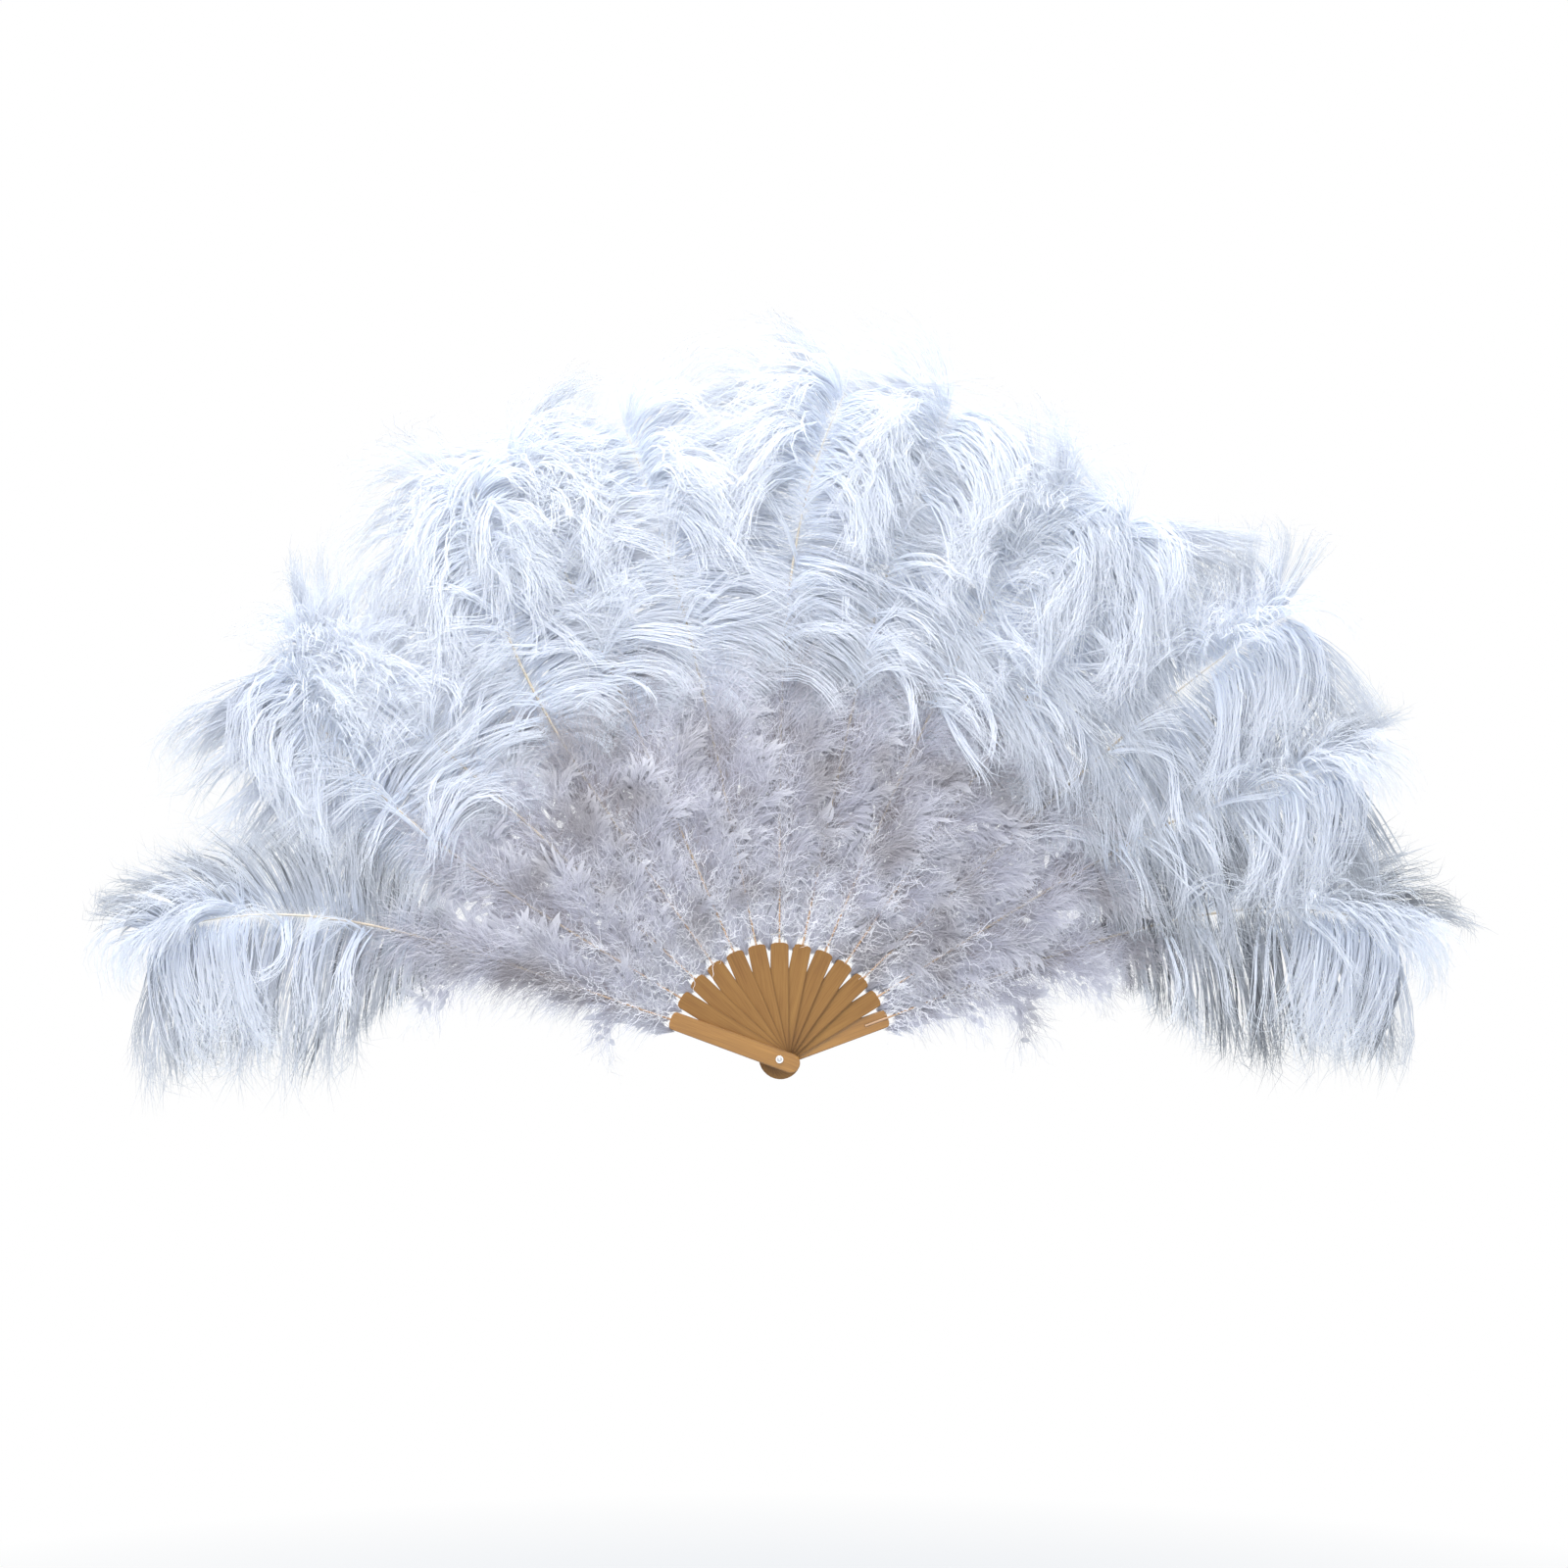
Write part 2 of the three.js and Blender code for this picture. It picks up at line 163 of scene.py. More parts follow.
class Nodes:
    def __init__(self, tree):
        self.tree = tree

    def connect(self, value, socket):
        if isinstance(value, Wire):
            self.tree.links.new(value.socket, socket)
        else:
            socket.default_value = value

    # Settings come first, because they change which sockets a node has
    def node(self, kind, settings=None, values=None, output=0):
        made = self.tree.nodes.new(kind)
        for key, value in (settings or {}).items():
            if key == "stops":
                self.setStops(made.color_ramp, value)
            else:
                setattr(made, key, value)
        pairs = enumerate(values) if isinstance(values, list) else (values or {}).items()
        for key, value in pairs:
            self.connect(value, made.inputs[key])
        return Wire(self, made.outputs[output])

    def setStops(self, ramp, stops):
        while len(ramp.elements) < len(stops):
            ramp.elements.new(1.0)
        for element, (place, colour) in zip(ramp.elements, stops):
            element.position = place
            element.color = colour

    def attribute(self, name):
        return self.node("ShaderNodeAttribute", {"attribute_name": name}, output="Fac")

    def place(self, turn=0.0, scale=(1, 1, 1)):
        spot = self.node("ShaderNodeTexCoord", output="Object")
        turned = self.node("ShaderNodeMapping", {}, {"Vector": spot, "Rotation": (0, turn, 0)})
        return self.node("ShaderNodeMapping", {}, {"Vector": turned, "Scale": scale})

    def noise(self, spot, scale, detail=3.0, roughness=0.5):
        values = {"Vector": spot, "Scale": scale, "Detail": detail, "Roughness": roughness}
        return self.node("ShaderNodeTexNoise", {}, values)

    def blendColours(self, share, first, second, how="MIX"):
        settings = {"data_type": "RGBA", "blend_type": how}
        return self.node("ShaderNodeMix", settings, {0: share, 6: first, 7: second}, output=2)

    def grey(self, value):
        return self.node("ShaderNodeCombineColor", {}, [value, value, value])

    def ramp(self, share, stops):
        return self.node("ShaderNodeValToRGB", {"stops": stops}, [share])

    def limit(self, value, low, high, start=0.0, end=1.0):
        return self.node("ShaderNodeMapRange", {}, [value, low, high, start, end])

    # 1 where a surface is seen by the lens, in a reflection or through something clear
    def seen(self):
        lens, gloss, through = (self.node("ShaderNodeLightPath", output=f"Is {kind} Ray")
                                for kind in ("Camera", "Glossy", "Transmission"))
        return lens.maths("MAXIMUM", lens.maths("MAXIMUM", lens, gloss), through)


class Finish(Nodes):
    def __init__(self, name, roughness, metallic=0.0, sheen=0.0, specular=0.5):
        self.material = bpy.data.materials.new(name)
        self.material.use_nodes = True
        super().__init__(self.material.node_tree)
        self.shader = self.tree.nodes["Principled BSDF"]
        self.shader.inputs["Roughness"].default_value = roughness
        self.shader.inputs["Metallic"].default_value = metallic
        self.shader.inputs["Sheen Weight"].default_value = sheen
        self.shader.inputs["Specular IOR Level"].default_value = specular

    def bump(self, height, strength, distance):
        values = {"Height": height, "Strength": strength, "Distance": distance}
        self.connect(self.node("ShaderNodeBump", {}, values), self.shader.inputs["Normal"])

    def colour(self, value):
        self.connect(value, self.shader.inputs["Base Color"])

    def roughness(self, value):
        self.connect(value, self.shader.inputs["Roughness"])

    def coat(self, weight, roughness):
        self.shader.inputs["Coat Weight"].default_value = weight
        self.shader.inputs["Coat Roughness"].default_value = roughness


# An sRGB colour of 0 to 255 as Blender's linear one
def shade(red, green, blue):
    def linear(channel):
        part = channel / 255
        return part / 12.92 if part <= 0.04045 else ((part + 0.055) / 1.055) ** 2.4

    return (linear(red), linear(green), linear(blue), 1.0)


# Both kinds of feather run from root to tip through three colours, and each strand has its own tone.
# The ostrich's darker, bluer root is painted shade; the marabou's dark root is partly its tan base and partly
# painted shade.
# A strand's tone mixes random tone with painted shade on deep or shaded strands and painted highlight on some
# bright ones.
featherLook = {
    "stops": (0.0, 0.38, 0.9),
    "roughness": 0.75,
    "sheen": 0.1,
    "specular": 0.1,
    "glow": 0.4,
    "glowReach": 0.006,
    "cloudScale": 17.0,
    "cloudTint": 4,  # times cloudShare, how far the dark clouds take on the root's colour
    "darkest": 0.12,
    "brightest": 1.3,
}
featherKinds = {
    "ostrich_white": {
        "colours": (shade(228, 236, 252), shade(239, 243, 253), shade(244, 247, 254)),
        "level": 1.05,
        "toneShare": 0.12,
        "cloudShare": 0.03,
    },
    "marabou_white": {
        "colours": (shade(162, 147, 140), shade(207, 206, 219), shade(252, 251, 255)),
        "level": 1.0,
        "toneShare": 0.1,
        "cloudShare": 0.09,
    },
}


def featherFinish(name):
    kind = featherKinds[name]
    gloss = {key: featherLook[key] for key in ("roughness", "sheen", "specular")}
    finish = Finish(name, **gloss)
    finish.shader.inputs["Subsurface Weight"].default_value = featherLook["glow"]
    finish.shader.inputs["Subsurface Radius"].default_value = (1, 1, 1)
    finish.shader.inputs["Subsurface Scale"].default_value = featherLook["glowReach"]
    base = finish.ramp(finish.attribute("along"), list(zip(featherLook["stops"], kind["colours"])))
    cloud = finish.noise(finish.place(), featherLook["cloudScale"], detail=1.0)
    cloud = finish.limit(cloud, 0.3, 0.7, start=-1.0, end=1.0)
    # Darker random clouds take on the root's colour
    tinted = finish.limit(cloud, 0.0, -0.9) * kind["cloudShare"] * featherLook["cloudTint"]
    base = finish.blendColours(tinted, base, kind["colours"][0])
    # The strand's tone brightens or darkens its colour: random tone, painted shade and painted highlight
    tone = kind["level"] + finish.attribute("tone") * kind["toneShare"] + cloud * kind["cloudShare"]
    low, high = featherLook["darkest"], featherLook["brightest"]
    brightness = finish.limit(tone, low, high, low, high)
    finish.colour(finish.blendColours(1.0, base, finish.grey(brightness), "MULTIPLY"))
    return finish.material


quillLook = {
    "tan": shade(205, 165, 128),
    "cream": shade(216, 200, 176),
    "white": shade(236, 231, 222),
    "streak": shade(182, 146, 112),
    "stops": [(0.0, "tan"), (0.35, "cream"), (0.62, "cream"), (0.9, "white")],
    "grainScale": 420.0,
    "streakShare": 0.5,
}


def quillFinish():
    finish = Finish("quill_horn", roughness=0.38)
    along = finish.attribute("along")
    base = finish.ramp(along, [(place, quillLook[colour]) for place, colour in quillLook["stops"]])
    grain = finish.noise(finish.place(), quillLook["grainScale"])
    darkening = finish.limit(grain, 0.5, 0.8) * (1 - along) * quillLook["streakShare"]
    finish.colour(finish.blendColours(darkening, base, quillLook["streak"]))
    finish.roughness(0.3 + grain * 0.2)
    finish.bump(grain, strength=0.15, distance=0.0002)
    return finish.material


bambooLook = {
    "stave": (shade(129, 87, 38), shade(149, 105, 50), shade(163, 119, 60)),
    "guard": (shade(148, 100, 41), shade(168, 118, 52), shade(183, 132, 62)),
    "stops": (0.3, 0.5, 0.7),
    # Painted shade: the colour of the contact shadow along each stave's long edges
    "edge": shade(96, 62, 27),
    "edgeShadeZone": (52, 84),  # squared millimetres from the stave's middle line
    "edgeShadeShare": 0.6,
    "grainAcross": 900.0,
    "grainAlong": 26.0,
    "cloudScale": (60, 60, 14),
    "poreShare": 0.35,
    "toneStep": 0.02,
}


def bambooFinish(index):
    isGuard = index in (0, lastStave)
    angle = staveAngle(index)
    finish = Finish(numbered("bamboo", index), roughness=0.36 if isGuard else 0.5)
    colours = bambooLook["guard" if isGuard else "stave"]
    across, along = bambooLook["grainAcross"], bambooLook["grainAlong"]
    fibreSpot = finish.place(-angle, (across, across * 0.5, along))
    fibres = finish.noise(fibreSpot, 1.0, detail=4.0, roughness=0.62)
    cloud = finish.noise(finish.place(-angle, bambooLook["cloudScale"]), 1.0, detail=2.0)
    pores = finish.noise(finish.place(-angle, (across * 2.4, across, along * 4)), 1.0, detail=1.0)
    share = fibres * 0.75 + cloud * 0.45 - 0.1 + ((index * 5) % 4) * bambooLook["toneStep"]
    base = finish.ramp(share, list(zip(bambooLook["stops"], colours)))
    base = finish.blendColours(finish.limit(pores, 0.66, 0.78) * bambooLook["poreShare"], base, colours[0])
    millimetres = finish.place(-angle, (1000, 1000, 1000))
    aside = finish.node("ShaderNodeSeparateXYZ", {}, [millimetres], output="X")
    # Painted shade: the stave darkens towards its long edges, as a contact shadow between staves
    darkening = finish.limit(aside * aside, *bambooLook["edgeShadeZone"]) * bambooLook["edgeShadeShare"]
    finish.colour(finish.blendColours(darkening, base, bambooLook["edge"]))
    finish.roughness(mix(0.42, 0.3, isGuard) + fibres * 0.18)
    finish.bump(fibres + pores * 0.4, strength=0.25, distance=0.00015)
    if isGuard:
        finish.coat(weight=0.35, roughness=0.18)
    return finish.material


steelLook = {
    "dark": shade(196, 198, 202),
    "bright": shade(226, 227, 229),
    "scratchTurn": 0.4,
    "scratchScale": (900, 900, 120),
}


def steelFinish():
    finish = Finish("rivet_steel", roughness=0.24, metallic=1.0)
    scratch = finish.noise(finish.place(steelLook["scratchTurn"], steelLook["scratchScale"]), 1.0)
    finish.colour(finish.blendColours(scratch, steelLook["dark"], steelLook["bright"]))
    finish.roughness(0.18 + scratch * 0.16)
    finish.bump(scratch, strength=0.08, distance=0.0001)
    return finish.material


threadLook = {
    "dark": shade(214, 206, 192),
    "bright": shade(240, 236, 228),
    "twistTurn": 0.6,
    "twistScale": (2600, 2600, 500),
}


def threadFinish():
    finish = Finish("linking_thread", roughness=0.8, sheen=0.3)
    twist = finish.noise(finish.place(threadLook["twistTurn"], threadLook["twistScale"]), 1.0, detail=2.0)
    finish.colour(finish.blendColours(twist, threadLook["dark"], threadLook["bright"]))
    finish.bump(twist, strength=0.5, distance=0.0002)
    return finish.material


def dress(piece, material):
    piece.data.materials.clear()
    piece.data.materials.append(material)


# Each piece gets its finish and the body that it moves with, and the solid that it stands for is hidden
def fitPiece(piece, finish, body, node):
    dress(piece, finish)
    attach(piece, body)
    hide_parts(node)


def unit(vectors):
    return vectors / np.maximum(np.linalg.norm(vectors, axis=-1, keepdims=True), tiny)


# Turns spots or ways about the rivet's axis, clockwise as the front shows them
def turned(x, y, z, angle):
    cosine, sine = np.cos(angle), np.sin(angle)
    return np.stack([x * cosine + z * sine, y, z * cosine - x * sine], axis=-1)


# A batch of closed, pointed, three-sided strands
def strandBatch(paths, widths, rolls, tonesAndPaintedLight, alongs, flatness):
    count, points = paths.shape[:2]
    rings = points - 2
    ahead = unit(np.gradient(paths, axis=1))[:, 1:-1]
    across = unit(np.cross(ahead, np.array([0.0, -1.0, 0.0])))
    lift = np.cross(across, ahead)
    cosine, sine = np.cos(rolls)[:, None, None], np.sin(rolls)[:, None, None]
    sideways = across * cosine + lift * sine
    outward = lift * cosine - across * sine
    half = widths[:, 1:-1, None] / 2
    middle = paths[:, 1:-1]
    top = middle + outward * half * flatness
    right = middle + (sideways - outward * flatness / 2) * half
    left = middle - (sideways + outward * flatness / 2) * half
    ring = np.stack([top, right, left], axis=2).reshape(count, rings * 3, 3)
    stride = rings * 3 + 2
    share = np.concatenate([[0.0], np.repeat(np.arange(1, points - 1) / (points - 1), 3), [1.0]])

    side = np.arange(3)
    after = (side + 1) % 3
    startFan = np.stack([np.zeros(3, int), 1 + after, 1 + side], axis=1)
    last = 1 + (rings - 1) * 3
    endFan = np.stack([np.full(3, stride - 1), last + side, last + after], axis=1)
    low = (1 + 3 * np.arange(rings - 1))[:, None]
    quads = np.stack([low + side, low + after, low + 3 + after, low + 3 + side], axis=2).reshape(-1, 4)
    firsts = (np.arange(count) * stride)[:, None, None]
    # A corner's edge is 0 at a strand's ends, 1 on its ridge and 2 or 3 on its two sides
    return {
        "corners": np.concatenate([paths[:, :1], ring, paths[:, -1:]], axis=1).reshape(-1, 3),
        "threes": (np.concatenate([startFan, endFan])[None] + firsts).reshape(-1, 3),
        "fours": (quads[None] + firsts).reshape(-1, 4),
        "edge": np.tile(np.concatenate([[0], np.tile([1, 2, 3], rings), [0]]), count),
        "along": mix(alongs[0][:, None], alongs[1][:, None], share[None]).ravel(),
        "tone": np.repeat(tonesAndPaintedLight, stride),
    }


# The two side edges of each strand stay sharp, so that it takes the light as one flat soft barb
def sharpenSides(mesh, edge):
    pairs = np.empty(len(mesh.edges) * 2, np.int32)
    mesh.edges.foreach_get("vertices", pairs)
    first, second = edge[pairs.reshape(-1, 2)].T
    isSide = (np.maximum(first, second) > 1) & ((first == second) | (np.minimum(first, second) == 0))
    layer = mesh.attributes.new("sharp_edge", "BOOLEAN", "EDGE")
    layer.data.foreach_set("value", isSide)


def meshStrands(name, batches):
    firsts = np.cumsum([0] + [len(batch["corners"]) for batch in batches])
    corners, edge, along, tone = (np.concatenate([batch[key] for batch in batches])
                                  for key in ("corners", "edge", "along", "tone"))
    threes, fours = (np.concatenate([batch[key] + first for batch, first in zip(batches, firsts)])
                     for key in ("threes", "fours"))
    mesh = bpy.data.meshes.new(name)
    mesh.vertices.add(len(corners))
    mesh.vertices.foreach_set("co", corners.astype(np.float32).ravel())
    mesh.loops.add(threes.size + fours.size)
    mesh.loops.foreach_set("vertex_index", np.concatenate([threes.ravel(), fours.ravel()]).astype(np.int32))
    starts = np.concatenate([np.arange(len(threes)) * 3, threes.size + np.arange(len(fours)) * 4])
    mesh.polygons.add(len(starts))
    mesh.polygons.foreach_set("loop_start", starts.astype(np.int32))
    mesh.update(calc_edges=True)
    mesh.shade_smooth()
    sharpenSides(mesh, edge)
    for key, values in (("along", along), ("tone", tone)):
        layer = mesh.attributes.new(key, "FLOAT", "POINT")
        layer.data.foreach_set("value", values.astype(np.float32))
    piece = bpy.data.objects.new(name, mesh)
    bpy.context.collection.objects.link(piece)
    return piece


# What a strand is unless it is told otherwise. Its lock is offX and offZ away, and edge scales its outline
strandTraits = {
    "x": 0.0, "z": 0.0, "turn": 0.0, "tilt": 0.0, "length": 0.0, "sag": 0.0, "arch": 0.0, "curl": 0.0,
    "hook": 0.0, "ripple": 0.0, "phase": 0.0, "waves": 0.0, "offX": 0.0, "offZ": 0.0, "pull": 0.0,
    "depthRoot": 0.5, "depthTip": 0.5, "puff": 0.0, "rise": 1.6, "width": 0.0005, "roll": 0.0, "tone": 0.0,
    "alongRoot": 0.0, "alongTip": 1.0, "edge": 1.0,
}
strandShape = {
    "curlGain": 3,
    "curlPower": 2,
    "hookGain": 5,
    "hookPower": 8,
    "pullEnd": 0.6,
    "depthPower": 0.8,
    "phases": 6.3,  # a ripple starts anywhere in one whole wave
    "fallShare": 0.5,  # how much of a strand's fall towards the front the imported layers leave
}
# The points along a strand of each form, how flat it is and how much of its width is left at its tip
strandForms = {
    "barb": (7, 0.25, 0.4),
    "fibre": (5, 0.15, 0.4),
    "crinkled": (9, 0.15, 0.4),
    "fluff": (3, 0.15, 1.0),
    "back": (5, 0.08, 0.5),
    "collarBack": (4, 0.08, 0.6),
    "spineBack": (4, 0.06, 0.7),
}
looseness = {"x": 0.0005, "z": 0.0005, "turn": 0.025, "curl": 0.1, "hook": 0.8, "roll": 0.2, "edge": 0.012}


def growth(total, **given):
    return {key: np.array(np.broadcast_to(given.get(key, usual), total), float)
            for key, usual in strandTraits.items()}


def regrow(grown, **given):
    for key, value in given.items():
        grown[key][:] = value


# Random draws, one for each strand, or one for each lock where owner says whose each strand is
class Draws:
    def __init__(self, chance, count, owner=slice(None)):
        self.chance = chance
        self.count = count
        self.owner = owner

    def between(self, low, high):
        return self.chance.uniform(low, high, self.count)[self.owner]

    def about(self, middle, spread):
        return self.chance.normal(middle, spread, self.count)[self.owner]

    def eitherSide(self):
        return np.where(self.between(0, 1) < 0.5, 1, -1)

    # How strands wind: how far aside, from where and how often
    def winding(self, ripple, waves):
        return {
            "ripple": self.between(*ripple),
            "phase": self.between(0, strandShape["phases"]),
            "waves": self.between(*waves),
        }


# Draws for locks that have the same number of threads each, and draws for each thread
def lockDraws(chance, locks, threads):
    return Draws(chance, locks, np.repeat(np.arange(locks), threads)), Draws(chance, locks * threads)


def thinned(count):
    return count


def leftAndRight(count):
    return np.where(np.arange(count) % 2 == 0, 1, -1)


# A thread is a few strands that run close together and part at their ends, so that it looks soft
def splitThreads(threads, strands, chance):
    split = {key: np.repeat(values, strands) for key, values in threads.items()}
    own = Draws(chance, len(split["x"]))
    for key, size in looseness.items():
        split[key] += own.about(0, size)
    split["length"] *= own.between(0.84, 1.0)
    split["width"] *= own.between(0.7, 1.25)
    split["tone"] += own.between(-0.25, 0.25)
    return split


# Strands set off at their turn, fall towards the ground and curl at their ends
def sweepStrands(grown, worldTurn, points):
    steps = points - 1
    turn, tilt = grown["turn"], grown["tilt"]
    ahead = np.stack([np.sin(turn) * np.cos(tilt), -np.sin(tilt), np.cos(turn) * np.cos(tilt)], axis=1)
    ground = np.array([math.sin(worldTurn), 0.0, -math.cos(worldTurn)])
    pace = grown["length"] / steps
    spots = np.zeros((len(turn), points, 3))
    spots[:, 0, 0], spots[:, 0, 2] = grown["x"], grown["z"]
    for step in range(1, points):
        share = (step - 0.5) / steps
        ahead = ahead + (grown["sag"] / steps)[:, None] * (ground - (ahead @ ground)[:, None] * ahead)
        curl = grown["curl"] * strandShape["curlGain"] * share ** strandShape["curlPower"]
        hook = grown["hook"] * strandShape["hookGain"] * share ** strandShape["hookPower"]
        ahead = unit(turned(*ahead.T, (grown["arch"] + curl + hook) / steps))
        ripple = grown["ripple"] * np.sin(grown["phase"] + share * grown["waves"])
        spots[:, step] = spots[:, step - 1] + pace[:, None] * turned(*ahead.T, ripple)
    pulled = grown["pull"][:, None] * easeBetween(np.linspace(0, 1, points), 0, strandShape["pullEnd"])[None]
    spots[:, :, 0] -= grown["offX"][:, None] * pulled
    spots[:, :, 2] -= grown["offZ"][:, None] * pulled
    return spots


# How far the plumes reach in each direction, in degrees from upright and metres from the rivet
outline = {
    "turns": [-100, -90, -80, -70, -58.3, -46.7, -35, -23.3, -11.7, 0,
              11.7, 23.3, 35, 46.7, 58.3, 70, 80, 90, 100],
    "reach": [0.60, 0.60, 0.66, 0.645, 0.662, 0.635, 0.684, 0.686, 0.662, 0.694,
              0.69, 0.65, 0.666, 0.7, 0.67, 0.668, 0.67, 0.6, 0.56],
    "zone": 0.03,
}
# How far strands may pass the solids' box: a share of its size and a length
proud = {"share": 0.028, "length": 0.008, "zone": 0.02}


# What would go further than a limit bends back softly
def softLimit(over, zone):
    over = np.maximum(over, 0)
    return over - zone * (1 - np.exp(-over / zone))


def keepInside(paths, edge):
    turn = np.arctan2(paths[:, :, 0], paths[:, :, 2])
    radius = np.hypot(paths[:, :, 0], paths[:, :, 2])
    reach = np.interp(np.degrees(turn), outline["turns"], outline["reach"]) * edge[:, None]
    zone = outline["zone"]
    radius -= softLimit(radius - reach + zone, zone)
    paths[:, :, 0], paths[:, :, 2] = radius * np.sin(turn), radius * np.cos(turn)
    low, high = (np.array(corner) for corner in cadBox)
    margin = proud["share"] * (high - low) + proud["length"]
    zone = proud["zone"]
    above = softLimit(paths - high - margin + zone, zone)
    below = softLimit(low - margin + zone - paths, zone)
    return paths - above + below


def layStrands(index, grown, form):
    points, flatness, tipWidth = strandForms[form]
    angle = staveAngle(index)
    x, fall, z = sweepStrands(grown, angle, points).transpose(2, 0, 1)
    share = np.linspace(0, 1, points)[None]
    depth = mix(grown["depthRoot"][:, None], grown["depthTip"][:, None], share ** strandShape["depthPower"])
    y = layerDepth(index, np.hypot(x, z), depth) + grown["puff"][:, None] * share ** grown["rise"][:, None]
    y += fall * strandShape["fallShare"]
    widths = grown["width"][:, None] * mix(1.0, tipWidth, share)
    paths = keepInside(turned(x, y, z, angle), grown["edge"])
    alongs = (grown["alongRoot"], grown["alongTip"])
    return strandBatch(paths, widths, grown["roll"], grown["tone"], alongs, flatness)


# The plumes, by stave from left to right where there is a list
plume = {
    "reach": 0.592,
    "tipBarb": 0.078,
    "start": 0.33,
    "reachShares": [0.935, 0.925, 0.94, 0.96, 0.99, 0.965, 1, 1, 0.95, 0.965, 1.01, 0.955, 0.95],
    "leans": [-8, 7, -2, 7, -1, -2, 5.5, 3, 4, -2, 2, 4, 8],
    "leanGrowth": 3.5,
    "tangles": [0.3, 0.9, 1, 0.8, 0.7, 0.5, 0.35, 0.9, 1, 0.9, 0.3, 0.7, 0.35],
    "covers": [0.1, 0.8, 1, 0.6, 1, 0.25, 0.3, 1, 1, 1, 0.1, 0.9, 0.2],
    # Painted shade: how much darker each plume is drawn, most for the lowest plumes at both ends
    "paintedShades": [-3.6, -0.8, 0, 0, 0, 0, -1.0, 0, -0.2, -0.8, -1.6, -4.0, -6.5],
    "flowWaves": (14, 31),
    "fastShare": 0.6,
    "swingFlow": 0.16,
    "fallFlow": 0.3,
    "barb": 0.184,
    "endBarb": 0.185,
    "rootShare": 0.2,  # of a barb's length is left at the plume's start
    "fullRun": 0.36,
    "innerRun": 0.25,
    "rootTurn": math.radians(80),
    "tipTurn": math.radians(48),
    "sag": 1.5,
    "endSag": 0.85,
    "threads": 262,
    "strands": 3,
    "locks": 34,
    "gather": 0.5,
    "combedGather": 0.9,
    "combedLocks": 0.6,
    # Plumes darkened by painted shade are combed into more and tighter locks
    "combedPaintedShade": -5,  # plumes in the shade are combed into more and tighter locks
    "uphillLoss": 0.35,
    "downhillGain": 0.1,
    "rootDepth": 0.5,
    "crossedDepth": 0.16,
    "barbWidth": 0.00078,
    "edgeSpread": 0.014,
    "headLocks": 86,
    "headThreads": 3,
    "headRun": 0.08,
    "headBarb": 0.16,
    "headSpread": (0.15, 1.25),
    "headArch": 1.25,
    "looseStart": 0.36,
    "coverLocks": 26,
    "coverThreads": 4,
    "coverLength": (0.08, 0.14),
    "coverShift": 0.014,
    "coverPuff": 0.004,
    "wisps": 6,
    "wispThreads": 5,
    "wispLength": (0.09, 0.15),
    "wispWidth": 0.0011,
    "wispPuff": 0.014,
    "underBarbs": 230,
    "underLength": 0.82,
    "underWidth": 0.0024,
    "underReach": 0.94,
    "seed": 300,
}


def plumeTip(index):
    return fan["staveReach"] + plume["reach"] * plume["reachShares"][index] - plume["tipBarb"]


def quillSpot(index, radius):
    run = np.clip((radius - fan["staveReach"]) / (plumeTip(index) - fan["staveReach"]), 0, None)
    lean = math.radians(plume["leans"][index]) * run ** plume["leanGrowth"]
    return radius * np.sin(lean), radius * np.cos(lean)


def quillTurn(index, radius):
    step = 0.001
    x0, z0 = quillSpot(index, radius - step)
    x1, z1 = quillSpot(index, radius + step)
    return np.arctan2(x1 - x0, z1 - z0)


# A slow wave along the quill, so that neighbouring locks flow together
def flow(run, chance, size):
    first, second = chance.uniform(0, 2 * math.pi, 2)
    slow, fast = plume["flowWaves"]
    return size * (np.sin(run * slow + first) + plume["fastShare"] * np.sin(run * fast + second))


